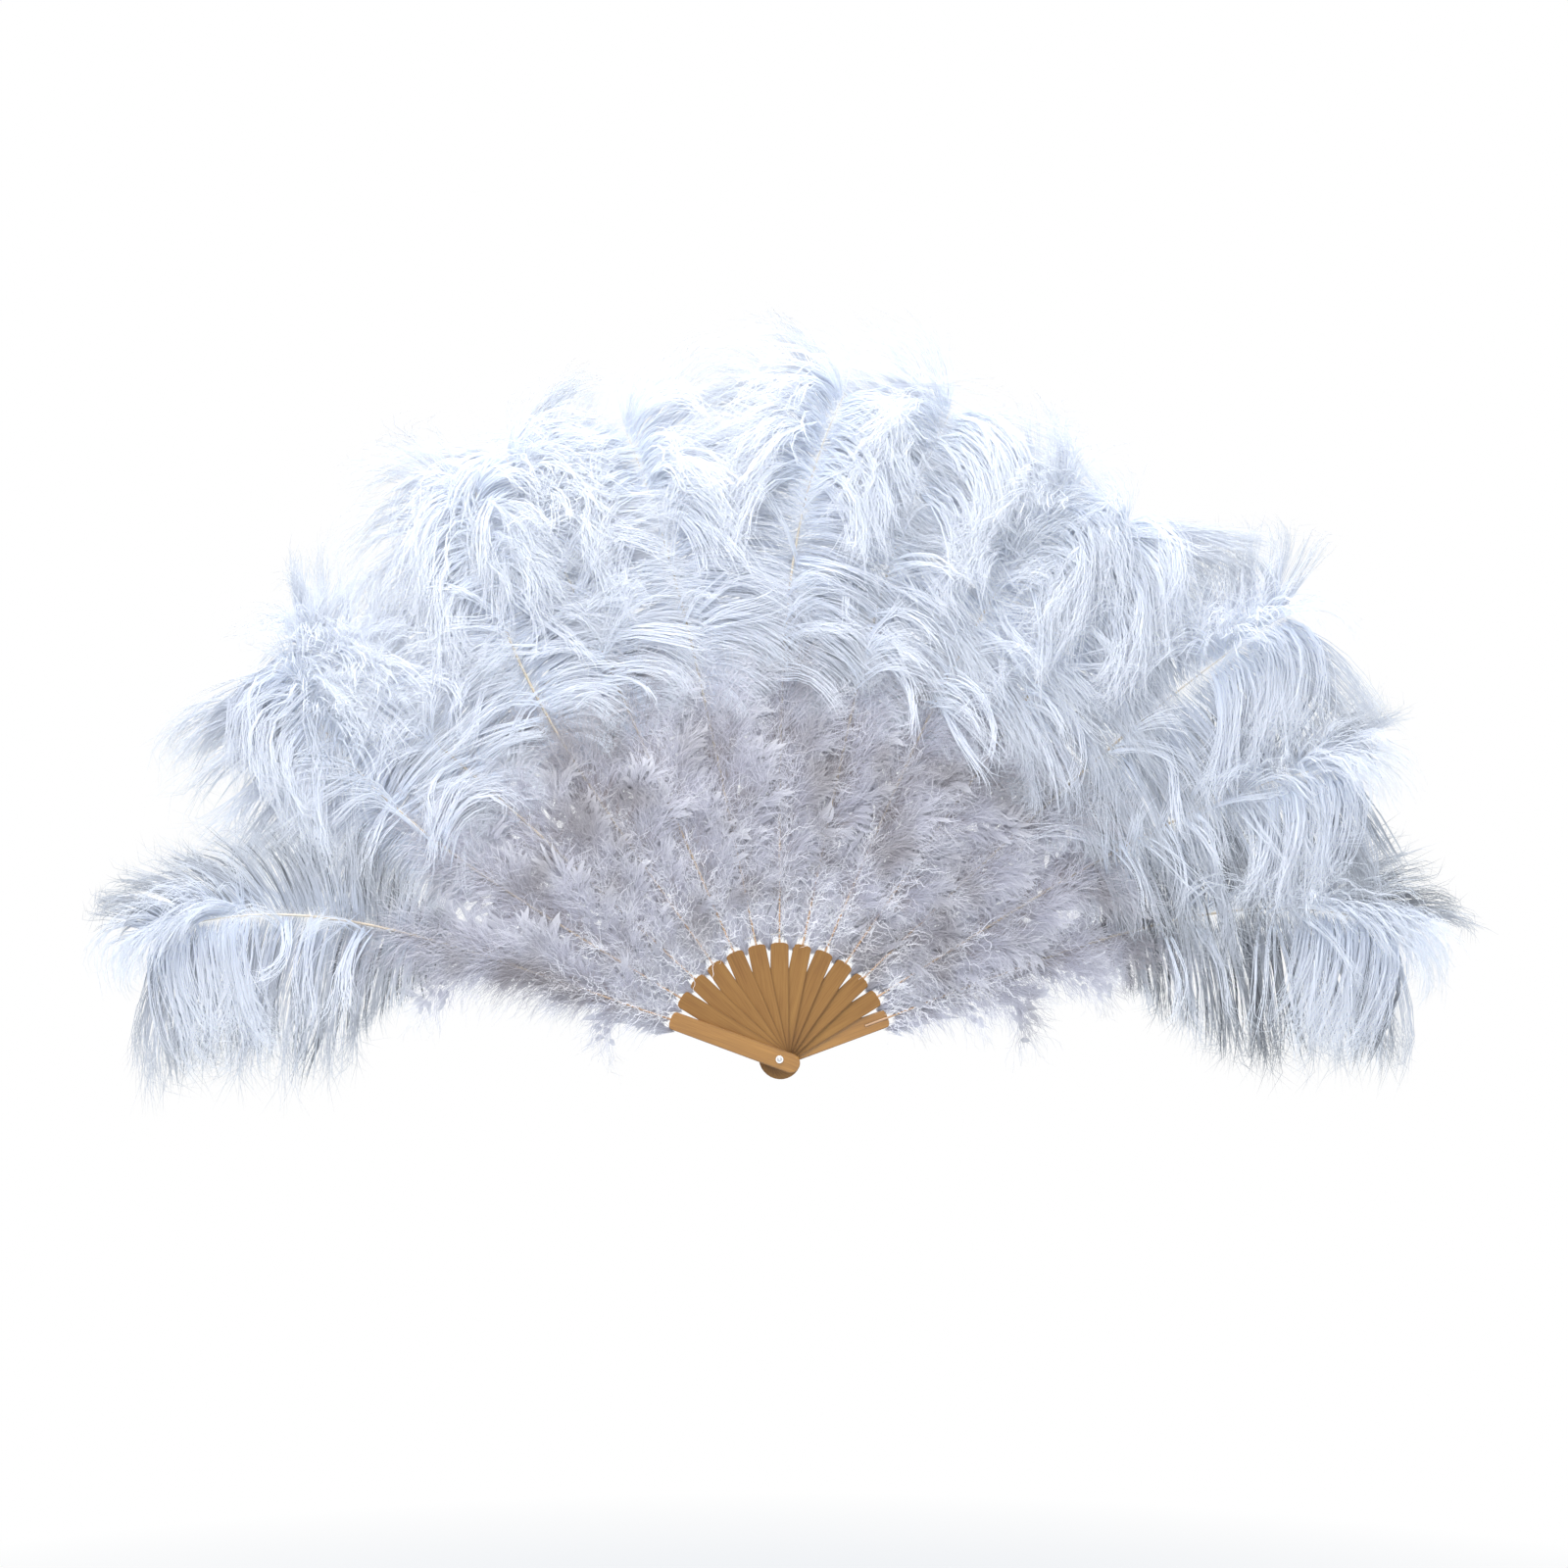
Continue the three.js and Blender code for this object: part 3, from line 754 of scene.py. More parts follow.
# Threads of barbs stand off both sides of a quill, fall towards the ground and gather in locks
def sideThreads(index, side, chance, count):
    tip = plumeTip(index)
    tangle = plume["tangles"][index]
    comb = plume["combedLocks"] * min(1, plume["paintedShades"][index] / plume["combedPaintedShade"])
    locks = round(plume["locks"] * (1 + comb))
    own = Draws(chance, count)
    run = (np.arange(count) + own.between(0, 1)) / count
    edges = np.sort(chance.random(locks - 1))
    owner = np.searchsorted(edges, run)
    lock = Draws(chance, locks, owner)
    lockRun = (np.concatenate([[0], edges]) + np.concatenate([edges, [1]]))[owner] / 2
    aim = mix(run, lockRun, mix(plume["gather"] * tangle, plume["combedGather"], comb))
    swing = mix(plume["rootTurn"], plume["tipTurn"], run ** 2)
    swing += flow(run, chance, plume["swingFlow"] * tangle)
    swing += lock.about(0, 0.12 * tangle + 0.02) + own.about(0, 0.035)
    grownShare = mix(plume["rootShare"], 1, np.clip(run / plume["fullRun"], 0, 1))
    length = mix(plume["barb"], plume["endBarb"], run ** 2.5) * grownShare
    downhill = side * math.sin(staveAngle(index))
    gain = plume["downhillGain"] * max(downhill, 0) * (1 - run)
    length *= 1 + gain - plume["uphillLoss"] * max(-downhill, 0)
    length *= lock.between(0.88, 1.06) * own.between(0.86, 1.02)
    radius, aimRadius = (mix(plume["start"], tip, value) for value in (run, aim))
    x, z = quillSpot(index, radius)
    aimX, aimZ = quillSpot(index, aimRadius)
    inner = 1 - np.clip(run / plume["innerRun"], 0, 1)
    depthTip = np.clip(lock.between(0.05, 0.7) + own.between(-0.2, 0.25) + inner * 0.4, 0, 0.95)
    crossed = easeBetween(radius, layers["crossStart"], layers["crossEnd"])
    sag = mix(plume["sag"], plume["endSag"], run ** 2)
    fallFlow = plume["fallFlow"] * tangle
    return growth(
        count, x=x, z=z, offX=x - aimX, offZ=z - aimZ, length=length, depthTip=depthTip,
        turn=quillTurn(index, radius) + side * swing,
        tilt=own.about(0, 0.05),
        sag=(sag + flow(run, chance, fallFlow)) * own.between(0.9, 1.1),
        curl=flow(run, chance, fallFlow) + lock.about(0, 0.22 * tangle + 0.05) + own.about(0, 0.1),
        hook=lock.about(0, 0.8) + own.about(0, 1.2),
        edge=lock.about(1, plume["edgeSpread"]),
        ripple=lock.between(0.0, 0.1),
        phase=lock.between(0, strandShape["phases"]) + own.about(0, 0.3),
        waves=lock.between(5, 10),
        pull=lock.between(0.4, 0.9),
        depthRoot=mix(plume["rootDepth"], plume["crossedDepth"], crossed) + inner * 0.3,
        width=plume["barbWidth"],
        # Painted shade: strands deeper in the layer, and plumes with painted shade, are drawn darker
        tone=lock.between(-0.5, 0.5) + own.between(-0.6, 0.6) - depthTip
        + plume["paintedShades"][index] * lock.between(0.1, 0.9),
    )


# Broad soft barbs at the back of the layer, which the fine ones lie on. They are drawn dark as painted shade
# in the gaps between barbs.
def underBarbs(index, side, chance, count):
    grown = sideThreads(index, side, chance, count)
    own = Draws(chance, count)
    run = (np.hypot(grown["x"], grown["z"]) - plume["start"]) / (plumeTip(index) - plume["start"])
    grown["length"] *= plume["underLength"]
    regrow(
        grown, width=plume["underWidth"] * own.between(0.7, 1.2), depthRoot=0.75,
        depthTip=own.between(0.86, 0.97), roll=own.about(0, 0.08), tilt=0, hook=0, edge=plume["underReach"],
        tone=own.between(-2.2, -1.4) * (1 - 0.4 * run) + (1.6 - run) * plume["paintedShades"][index],
    )
    return grown


# The plume's head: barbs spread all round its tip, arch over to both sides and fall like a fountain
def headThreads(index, chance, locks, threads):
    lock, own = lockDraws(chance, locks, threads)
    back = lock.between(0, 1) ** 1.2 * plume["headRun"]
    radius = plumeTip(index) - back + own.about(0, 0.004)
    x, z = quillSpot(index, radius)
    side = np.repeat(leftAndRight(locks), threads)
    lean = math.sin(staveAngle(index))
    spread = lock.between(*plume["headSpread"])
    shorter = 1 - plume["uphillLoss"] * np.clip(-side * lean, 0, 1)
    arch = 0.3 + plume["headArch"] * (plume["headSpread"][1] - spread)
    return growth(
        own.count, x=x, z=z, depthRoot=0.2, edge=lock.about(1, plume["edgeSpread"]),
        turn=quillTurn(index, radius) + side * (spread + 7 * back) + own.about(0, 0.08),
        tilt=lock.between(0.1, 0.7) + own.about(0, 0.08),
        length=plume["headBarb"] * shorter * lock.between(0.8, 1.1) * own.between(0.88, 1.0),
        sag=lock.between(1.0, 1.5) + 1.1 * abs(lean),
        arch=side * arch * np.clip(1 + 1.2 * side * lean, 0, 1),
        curl=lock.about(0, 0.25) + own.about(0, 0.1),
        hook=lock.about(0, 1.0) + own.about(0, 1.4),
        **lock.winding((0.0, 0.1), (4, 9)),
        depthTip=lock.between(0.0, 0.6),
        width=plume["barbWidth"] * 1.05,
        # Painted highlight: the head's barbs are drawn brighter than the plume's side barbs
        tone=lock.between(0.1, 0.9) + own.between(-0.4, 0.4),
    )


# Locks that lie over the front of a quill and hide it
def coverThreads(index, chance, locks, threads):
    lock, own = lockDraws(chance, locks, threads)
    middle = mix(plume["looseStart"], plumeTip(index) - 0.02, lock.between(0, 1))
    radius = middle + own.about(0, 0.007)
    x, z = quillSpot(index, radius)
    swing = lock.eitherSide() * lock.between(0.2, 1.3)
    return growth(
        own.count, x=x - swing * plume["coverShift"], z=z, depthRoot=0.1, depthTip=0.1,
        offX=own.about(0, 0.004), offZ=radius - middle,
        turn=quillTurn(index, radius) + swing + own.about(0, 0.06),
        tilt=lock.between(0.1, 0.5),
        length=lock.between(*plume["coverLength"]) * own.between(0.85, 1.0),
        sag=lock.between(1.0, 2.2),
        curl=lock.about(0, 0.5),
        hook=lock.about(0, 1.0),
        **lock.winding((0.0, 0.12), (4, 9)),
        pull=lock.between(0.5, 0.9),
        puff=-plume["coverPuff"], rise=0.5,
        width=plume["barbWidth"],
        tone=lock.between(0.0, 0.8) + own.between(-0.3, 0.3),
    )


# Barbs that cling together into a few curved locks in front of the plume, drawn brighter as a painted
# highlight.
def wispThreads(index, chance, locks, threads):
    lock, own = lockDraws(chance, locks, threads)
    middle = mix(plume["looseStart"], plumeTip(index) - 0.03, lock.between(0, 1))
    radius = middle + own.about(0, 0.004)
    x, z = quillSpot(index, radius)
    side = lock.eitherSide()
    return growth(
        own.count, x=x, z=z, depthRoot=0.1,
        offX=own.about(0, 0.003), offZ=own.about(0, 0.005),
        turn=quillTurn(index, radius) + side * lock.between(0.7, 1.9),
        length=lock.between(*plume["wispLength"]) * own.between(0.85, 1.0),
        sag=lock.between(1.0, 2.4),
        curl=lock.about(0, 0.8),
        hook=lock.about(0, 1.0) + own.about(0, 0.5),
        **lock.winding((0.05, 0.25), (4, 8)),
        pull=lock.between(0.6, 1.0),
        depthTip=own.between(0.0, 0.12),
        puff=-lock.between(0.4, 1) * plume["wispPuff"], rise=0.8,
        width=plume["wispWidth"] * own.between(0.6, 1.1),
        tone=1.1,
    )


def growPlume(index, finish):
    chance = np.random.default_rng(plume["seed"] + index)
    covers = round(plume["coverLocks"] * plume["covers"][index])
    threads = [sideThreads(index, side, chance, thinned(plume["threads"])) for side in (-1, 1)]
    threads.append(headThreads(index, chance, plume["headLocks"], plume["headThreads"]))
    threads.append(coverThreads(index, chance, covers, plume["coverThreads"]))
    threads.append(wispThreads(index, chance, plume["wisps"], plume["wispThreads"]))
    under = [underBarbs(index, side, chance, plume["underBarbs"] // 2) for side in (-1, 1)]
    split = [splitThreads(grown, plume["strands"], chance) for grown in threads]
    batches = [layStrands(index, grown, "barb") for grown in split]
    batches += [layStrands(index, grown, "back") for grown in under]
    piece = meshStrands(numbered("ostrich_plume", index), batches)
    fitPiece(piece, finish, bodyName(index), numbered("plume_vane", index))


# The marabou: tufts of soft down bound along the front of each quill, the inner rows over the outer ones
marabou = {
    "firstRow": 0.136,
    "lastRow": 0.332,
    "tufts": 22,
    "innerShaft": 0.032,
    "outerShaft": 0.092,
    "innerLean": 0.95,
    "outerLean": 0.55,
    "endLean": 0.16,
    "outwardShare": 0.6,
    "fibre": 0.05,
    "fibres": 68,
    "fibreWidth": 0.00052,
    "fluff": 112,
    "fluffLength": 0.024,
    "fluffWidth": 0.00045,
    "patch": 0.008,
    "under": 18,
    "underWidth": 0.006,
    "puff": 0.006,
    "roll": 0.1,
    "collarStart": 0.1005,
    "collarRun": 0.05,
    "collar": 540,
    "collarFibre": 0.026,
    "collarGap": 0.011,
    "besideStave": 0.0086,
    "besideQuill": 0.003,
    "collarUnder": 70,
    "collarUnderWidth": 0.0045,
    "spineStart": 0.1095,
    "spineUnder": 150,
    "spineAside": 0.004,
    "spineLength": (0.03, 0.06),
    "spineWidth": 0.007,
    "spineWiden": (0.16, 2.5),
    "crinkleStart": 0.1105,
    "crinkleEnd": 0.225,
    "crinkles": 114,
    "crinkleLength": 0.03,
    "hem": 480,
    "hemLength": (0.045, 0.07),
    "hemStart": 0.012,
    "hemEnd": 0.03,
    "seed": 700,
}


# 1 where the fan ends on the right, -1 where it ends on the left and 0 between
def outwardSide(index):
    return (index == lastStave) - (index == 0)


# The tufts along one quill, from the stave outwards
def layTufts(index, chance):
    count = marabou["tufts"]
    own = Draws(chance, count)
    rank = (np.arange(count) + 0.5) / count
    row = mix(marabou["firstRow"], marabou["lastRow"], np.clip(rank + own.about(0, 0.015), 0, 1) ** 0.9)
    lean = leftAndRight(count) * own.between(0.15, 1) * mix(marabou["innerLean"], marabou["outerLean"], rank)
    outward = outwardSide(index)
    lean = lean * np.where(lean * outward > 0, marabou["outwardShare"], 1) + marabou["endLean"] * outward
    return {
        "rank": rank,
        "row": row,
        "lean": lean,
        "shaft": mix(marabou["innerShaft"], marabou["outerShaft"], rank ** 0.6) * own.between(0.85, 1.15),
        "bend": own.about(0, 0.3),
        "fibre": marabou["fibre"] * mix(0.5, 1, np.clip(rank * 3, 0, 1)) * own.between(0.9, 1.1),
        "puff": own.between(-1, 0.2) * marabou["puff"] * mix(0.3, 1, rank),
        "tone": own.between(-0.7, 0.5),
    }


# Fibres on both sides of a tuft's shaft, which flow outwards with it to a bright tip from a dark root that is
# partly the down's tan base and partly painted shade.
def tuftFibres(index, tufts, chance, fibres):
    rank, row, lean, shaft, bend, fibre, puff, tone = (np.repeat(values, fibres) for values in tufts.values())
    own = Draws(chance, marabou["tufts"] * fibres)
    run = own.between(0, 1) ** 0.8
    x, z = quillSpot(index, row)
    way = quillTurn(index, row) + lean + bend * run
    side = own.eitherSide()
    shallow = mix(0.25, 0.5, rank)
    off = side * marabou["patch"] * own.between(0, 1) * mix(0.3, 1, run)
    x += shaft * run * np.sin(way) + off * np.cos(way)
    z += shaft * run * np.cos(way) - off * np.sin(way)
    return growth(
        own.count, x=x, z=z, puff=puff,
        turn=way + side * mix(0.7, 0.85, run) * own.between(0, 1.3) + own.about(0, 0.15),
        length=fibre * own.between(0.4, 1.1) * mix(1.1, 0.65, run),
        sag=own.between(0.1, 0.6),
        curl=own.about(0, 0.45),
        hook=own.about(0, 0.7),
        **own.winding((0.0, 0.25), (4, 9)),
        depthRoot=np.clip(shallow + 0.25 - run * 0.3 + own.about(0, 0.05), 0, 0.95),
        depthTip=np.clip(shallow - 0.2 - run * 0.3 + own.between(-0.2, 0.3), 0, 0.95),
        width=marabou["fibreWidth"] * own.between(0.7, 1.15),
        roll=own.about(0, marabou["roll"]),
        tone=tone + own.between(-0.4, 0.4),
        alongRoot=run * 0.5, alongTip=0.45 + run * 0.55,
    )


# Short straight ends of finer down among the fibres
def tuftFluff(index, tufts, chance, fluff):
    grown = tuftFibres(index, tufts, chance, fluff)
    own = Draws(chance, len(grown["x"]))
    out = own.between(0, 1)
    way = grown["turn"] + grown["sag"] * 0.5 * out * np.sin(staveAngle(index) + grown["turn"])
    reached = grown["length"] * 0.8 * out
    grown["x"] += reached * np.sin(way)
    grown["z"] += reached * np.cos(way)
    grown["puff"] *= out
    for trait, past, pace in (("depth", 0.4, 1), ("along", 0.3, 0.8)):
        root, tip = grown[f"{trait}Root"], grown[f"{trait}Tip"]
        grown[f"{trait}Root"], grown[f"{trait}Tip"] = (mix(root, tip, np.clip(out * pace + shift, 0, 1))
                                                       for shift in (0.0, past))
    regrow(
        grown, turn=way + own.about(0, 0.2), rise=0.1,
        length=marabou["fluffLength"] * own.between(0.6, 1.1),
        width=marabou["fluffWidth"] * own.between(0.7, 1.2),
    )
    return grown


# Down that fills the gap between one quill and the next, from between the staves' tips outwards
def collarFibres(index, chance, count):
    own = Draws(chance, count)
    run = own.between(0, 1)
    radius = marabou["collarStart"] + marabou["collarRun"] * run
    side = own.eitherSide()
    innermost = np.where(radius < fan["staveReach"] + 0.002, marabou["besideStave"], marabou["besideQuill"])
    aside = mix(innermost, marabou["collarGap"] * radius / fan["staveReach"], own.between(0, 1))
    x, z = quillSpot(index, radius)
    return growth(
        count, x=x + side * aside, z=z,
        turn=side * own.about(0.06, 0.22),
        length=marabou["collarFibre"] * own.between(0.5, 1.1),
        curl=own.about(0, 0.6),
        hook=own.about(0, 0.6),
        sag=own.between(0, 0.5),
        **own.winding((0.0, 0.35), (5, 12)),
        depthRoot=own.between(0.4, 0.9),
        depthTip=own.between(0.1, 0.9),
        width=marabou["fibreWidth"] * own.between(0.8, 1.4),
        roll=own.about(0, 0.2),
        tone=own.between(-1.2, 0.6),
        alongRoot=0.1 + run * 0.4, alongTip=0.9,
    )


# Broad down that backs the collar, drawn dark as painted shade in the gaps between the staves' tips.
def collarUnder(index, chance, count):
    grown = collarFibres(index, chance, count)
    own = Draws(chance, count)
    grown["length"] *= 0.8
    grown["curl"] *= 0.3
    regrow(
        grown, depthRoot=0.9, depthTip=0.92, roll=0, ripple=0,
        width=marabou["collarUnderWidth"] * own.between(0.7, 1.3),
        tone=own.between(-2.4, -1.4),
    )
    return grown


# Broad down along the quill, behind the fine fibres, drawn dark as painted shade in the gaps between them.
def spineUnder(index, chance, count):
    own = Draws(chance, count)
    radius = mix(marabou["spineStart"], marabou["lastRow"], own.between(0, 1) ** 1.5)
    x, z = quillSpot(index, radius)
    outward = outwardSide(index)
    widenFrom, widest = marabou["spineWiden"]
    aside = own.about(0, marabou["spineAside"]) * mix(1, widest, radius > widenFrom)
    aside = np.where(aside * outward > 0, 0.3, 1) * aside
    return growth(
        count, x=x + aside, z=z,
        turn=own.about(0, 0.35) * mix(1, 0.6, outward != 0) - 0.15 * outward,
        length=own.between(*marabou["spineLength"]), depthRoot=0.93, depthTip=0.95,
        width=marabou["spineWidth"] * own.between(0.7, 1.2),
        tone=own.between(-2.4, -1.6),
        alongRoot=0.3, alongTip=0.6,
    )


# Single crinkled fibres in front of the inner rows, drawn brighter as a painted highlight.
def crinkledFibres(index, chance, count):
    own = Draws(chance, count)
    radius = mix(marabou["crinkleStart"], marabou["crinkleEnd"], own.between(0, 1) ** 1.2)
    x, z = quillSpot(index, radius)
    return growth(
        count, x=x + own.about(0, 0.004), z=z,
        turn=own.about(0, 0.9),
        tilt=own.between(0.0, 0.5),
        length=marabou["crinkleLength"] * own.between(0.5, 1.2),
        curl=own.about(0, 0.6),
        sag=own.between(0, 0.5),
        **own.winding((0.4, 1.1), (12, 26)),
        depthRoot=0.2, depthTip=0.0,
        puff=-own.between(0.0, 0.004),
        width=marabou["fibreWidth"] * own.between(0.9, 1.6),
        roll=own.about(0, 0.4),
        tone=own.between(1.0, 2.4), alongRoot=0.9,
    )


# The first and last rows hang down past their guard in a soft hem
def hemFibres(index, chance, count):
    own = Draws(chance, count)
    run = own.between(0, 1)
    radius = mix(marabou["collarStart"] + marabou["hemStart"], marabou["lastRow"] + marabou["hemEnd"], run)
    x, z = quillSpot(index, radius)
    return growth(
        count, x=x, z=z,
        turn=outwardSide(index) * own.between(0.35, 1.15),
        length=mix(*marabou["hemLength"], run) * own.between(0.5, 1.1),
        sag=own.between(0.1, 0.7),
        curl=own.about(0, 0.25),
        hook=own.about(0, 0.4),
        **own.winding((0.0, 0.15), (4, 9)),
        depthRoot=own.between(0.2, 0.9),
        depthTip=own.between(0.0, 0.9),
        width=marabou["fibreWidth"] * own.between(0.7, 1.2),
        roll=own.about(0, marabou["roll"]),
        tone=own.between(-0.4, 0.4),
    )


# Matted broad down at the back, which the fine fibres lie on, drawn dark as painted shade in the gaps between
# them.
def tuftUnder(index, tufts, chance, fibres):
    grown = tuftFibres(index, tufts, chance, fibres)
    own = Draws(chance, len(grown["x"]))
    isOutward = np.sin(grown["turn"]) * outwardSide(index) > 0.25
    grown["length"] *= 0.75 * np.where(isOutward, 0.5, 1)
    regrow(
        grown, width=marabou["underWidth"] * own.between(0.7, 1.2), depthRoot=0.9,
        depthTip=own.between(0.8, 0.95), puff=0, roll=own.about(0, 0.08), tone=own.between(-1.4, -0.7),
    )
    return grown


def growMarabou(index, finish):
    chance = np.random.default_rng(marabou["seed"] + index)
    tufts = layTufts(index, chance)
    hem = marabou["hem"] * abs(outwardSide(index))
    batches = [
        layStrands(index, collarFibres(index, chance, marabou["collar"]), "fibre"),
        layStrands(index, collarUnder(index, chance, marabou["collarUnder"]), "collarBack"),
        layStrands(index, spineUnder(index, chance, marabou["spineUnder"]), "spineBack"),
        layStrands(index, crinkledFibres(index, chance, marabou["crinkles"]), "crinkled"),
        layStrands(index, hemFibres(index, chance, hem), "fibre"),
        layStrands(index, tuftFibres(index, tufts, chance, thinned(marabou["fibres"])), "fibre"),
        layStrands(index, tuftFluff(index, tufts, chance, thinned(marabou["fluff"])), "fluff"),
        layStrands(index, tuftUnder(index, tufts, chance, marabou["under"]), "back"),
    ]
    piece = meshStrands(numbered("marabou", index), batches)
    fitPiece(piece, finish, bodyName(index), numbered("marabou_down", index))


quill = {
    "sides": 4,
    "stations": 34,
    "paredReach": 0.1093,
    "shaftStart": 0.1135,
    "paredShare": 0.75,
    "paredWidth": 2.4,
}


def quillThickness(index, radius):
    grown = mix(fan["staveThickness"], fan["quillThick"], parted(radius))
    return mix(grown, fan["quillTip"], easeBetween(radius, layers["crossEnd"], plumeTip(index)))


def quillDepth(index, radius):
    half = quillThickness(index, radius) / 2
    crossed = easeBetween(radius, layers["crossStart"], layers["crossEnd"])
    return mix(layerDepth(index, radius, 1.0) - half, layerDepth(index, radius, 0.0) + half, crossed)


# A round tube along a row of spots, as thick as asked at each
def bendTube(name, spots, thickness, sides):
    line = bpy.data.curves.new(name, "CURVE")
    line.dimensions = "3D"
    line.bevel_depth = 0.5
    line.bevel_resolution = sides
    line.use_fill_caps = True
    spline = line.splines.new("POLY")
    spline.points.add(len(thickness) - 1)
    for point, spot, thick in zip(spline.points, spots, thickness):
        point.co = (*spot, 1)
        point.radius = thick
    tube = bpy.data.objects.new(name, line)
    bpy.context.collection.objects.link(tube)
    bpy.ops.object.select_all(action="DESELECT")
    tube.select_set(True)
    bpy.context.view_layer.objects.active = tube
    bpy.ops.object.convert(target="MESH")
    tube = bpy.context.view_layer.objects.active
    tube.data.shade_smooth()
    return tube


def bendQuill(index, finish):
    radii = np.concatenate([[fan["quillStart"], quill["paredReach"]],
                            np.linspace(quill["shaftStart"], plumeTip(index), quill["stations"])])
    x, z = quillSpot(index, radii)
    y = quillDepth(index, radii)
    seat = radii <= quill["paredReach"]
    pared = fan["staveThickness"] * quill["paredShare"] - fan["staveGap"]
    if index < lastStave:
        y[seat] = layerDepth(index, fan["staveReach"], 1.0) - pared / 2
    else:
        y[seat] = layerDepth(index, fan["staveReach"], 0.0) + pared / 2
    thickness = np.where(seat, pared, quillThickness(index, radii))
    shaft = bendTube(numbered("quill", index), zip(x, y, z), thickness, quill["sides"])
    flattenSeat(shaft)
    storeAlong(shaft, index)
    shaft.rotation_euler[1] = staveAngle(index)
    bpy.ops.object.transform_apply(location=True, rotation=True, scale=True)
    fitPiece(shaft, finish, bodyName(index), numbered("plume_quill", index))


# The pared end is as wide as the shaft that it turns into
def flattenSeat(shaft):
    for corner in shaft.data.vertices:
        if corner.co.z < quill["paredReach"] + 0.0005:
            corner.co.x *= quill["paredWidth"]


def storeAlong(shaft, index):
    spots = np.array([corner.co for corner in shaft.data.vertices])
    share = (np.hypot(spots[:, 0], spots[:, 2]) - fan["staveReach"]) / (plumeTip(index) - fan["staveReach"])
    layer = shaft.data.attributes.new("along", "FLOAT", "POINT")
    layer.data.foreach_set("value", np.clip(share, 0, 1).astype(np.float32))


staveEdge = {"weld": 0.00001, "round": 0.00022, "segments": 2, "angle": math.radians(50)}


def finishStaves():
    for index in range(fan["staves"]):
        stave = nodes[bodyName(index)]
        weld = stave.modifiers.new("Weld", "WELD")
        weld.merge_threshold = staveEdge["weld"]
        edge = stave.modifiers.new("Edge", "BEVEL")
        edge.width = staveEdge["round"]
        edge.segments = staveEdge["segments"]
        edge.limit_method = "ANGLE"
        edge.angle_limit = staveEdge["angle"]
        dress(stave, bambooFinish(index))


hardware = {
    "sides": 48,
    "pinRadius": 0.0015,
    "domeHeight": 0.0014,
    "domeShares": [(0.985, 0.18), (0.93, 0.4), (0.82, 0.63), (0.64, 0.83), (0.4, 0.95), (0.16, 1.0)],
    "domeSmooth": math.radians(50),
    "washerHole": 0.0018,
    "washerEdge": 0.00007,
    "washerSegments": 2,
    "washerAngle": math.radians(50),
    "washerSmooth": math.radians(35),
}


def editFaces(piece, chosen):
    bpy.ops.object.select_all(action="DESELECT")
    piece.select_set(True)
    bpy.context.view_layer.objects.active = piece
    bpy.ops.object.mode_set(mode="EDIT")
    bpy.ops.mesh.select_mode(type="FACE")
    bpy.ops.mesh.select_all(action="DESELECT")
    bpy.ops.object.mode_set(mode="OBJECT")
    for face in piece.data.polygons:
        face.select = chosen(face)
    bpy.ops.object.mode_set(mode="EDIT")


def addDisc(name, radius, low, high):
    bpy.ops.mesh.primitive_cylinder_add(vertices=hardware["sides"], radius=radius, depth=high - low,
                                        location=(0, (low + high) / 2, 0), rotation=(math.pi / 2, 0, 0))
    bpy.ops.object.transform_apply(location=True, rotation=True, scale=True)
    disc = bpy.context.active_object
    disc.name = name
    return disc


# The pin's ends are hammered out into low domes
def raiseDome(rivet, side, headRadius):
    editFaces(rivet, lambda face: face.normal.y * side > 0.9)
    bpy.ops.mesh.extrude_region_move()
    widen = headRadius / hardware["pinRadius"]
    bpy.ops.transform.resize(value=(widen, 1, widen))
    radius, height = 1.0, 0.0
    for nextRadius, nextHeight in hardware["domeShares"]:
        rise = side * (nextHeight - height) * hardware["domeHeight"]
        bpy.ops.mesh.extrude_region_move(TRANSFORM_OT_translate={"value": (0, rise, 0)})
        bpy.ops.transform.resize(value=(nextRadius / radius, 1, nextRadius / radius))
        radius, height = nextRadius, nextHeight
    bpy.ops.object.mode_set(mode="OBJECT")


def makeRivet(finish):
    low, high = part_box("rivet")
    dome = hardware["domeHeight"]
    rivet = addDisc("rivet_pin", hardware["pinRadius"], low.y + dome, high.y - dome)
    for side in (-1, 1):
        raiseDome(rivet, side, high.x)
    bpy.ops.object.shade_smooth_by_angle(angle=hardware["domeSmooth"])
    fitPiece(rivet, finish, "front_guard", "rivet")


def makeWasher(name, finish):
    low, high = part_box(name)
    washer = addDisc(f"{name}_ring", high.x, low.y, high.y)
    editFaces(washer, lambda face: abs(face.normal.y) > 0.9)
    bpy.ops.mesh.inset(thickness=high.x - hardware["washerHole"])
    bpy.ops.mesh.bridge_edge_loops()
    bpy.ops.object.mode_set(mode="OBJECT")
    edge = washer.modifiers.new("Edge", "BEVEL")
    edge.width = hardware["washerEdge"]
    edge.segments = hardware["washerSegments"]
    edge.angle_limit = hardware["washerAngle"]
    bpy.ops.object.shade_smooth_by_angle(angle=hardware["washerSmooth"])
    fitPiece(washer, finish, "front_guard", name)


thread = {
    "thick": 0.0005,
    "sides": 2,
    "turns": 3,
    "turnSteps": 14,
    "rise": 0.0019,
    "clear": 0.0001,
    "spanSteps": 9,
    "slack": 0.0007,
}


def bendThread(name, spots):
    return bendTube(name, spots, np.full(len(spots), thread["thick"]), thread["sides"])


# Where the thread passes a quill, in the upright frame of its stave
def threadSpot(index):
    x, z = quillSpot(index, fan["threadRadius"])
    return x, quillDepth(index, fan["threadRadius"]), z


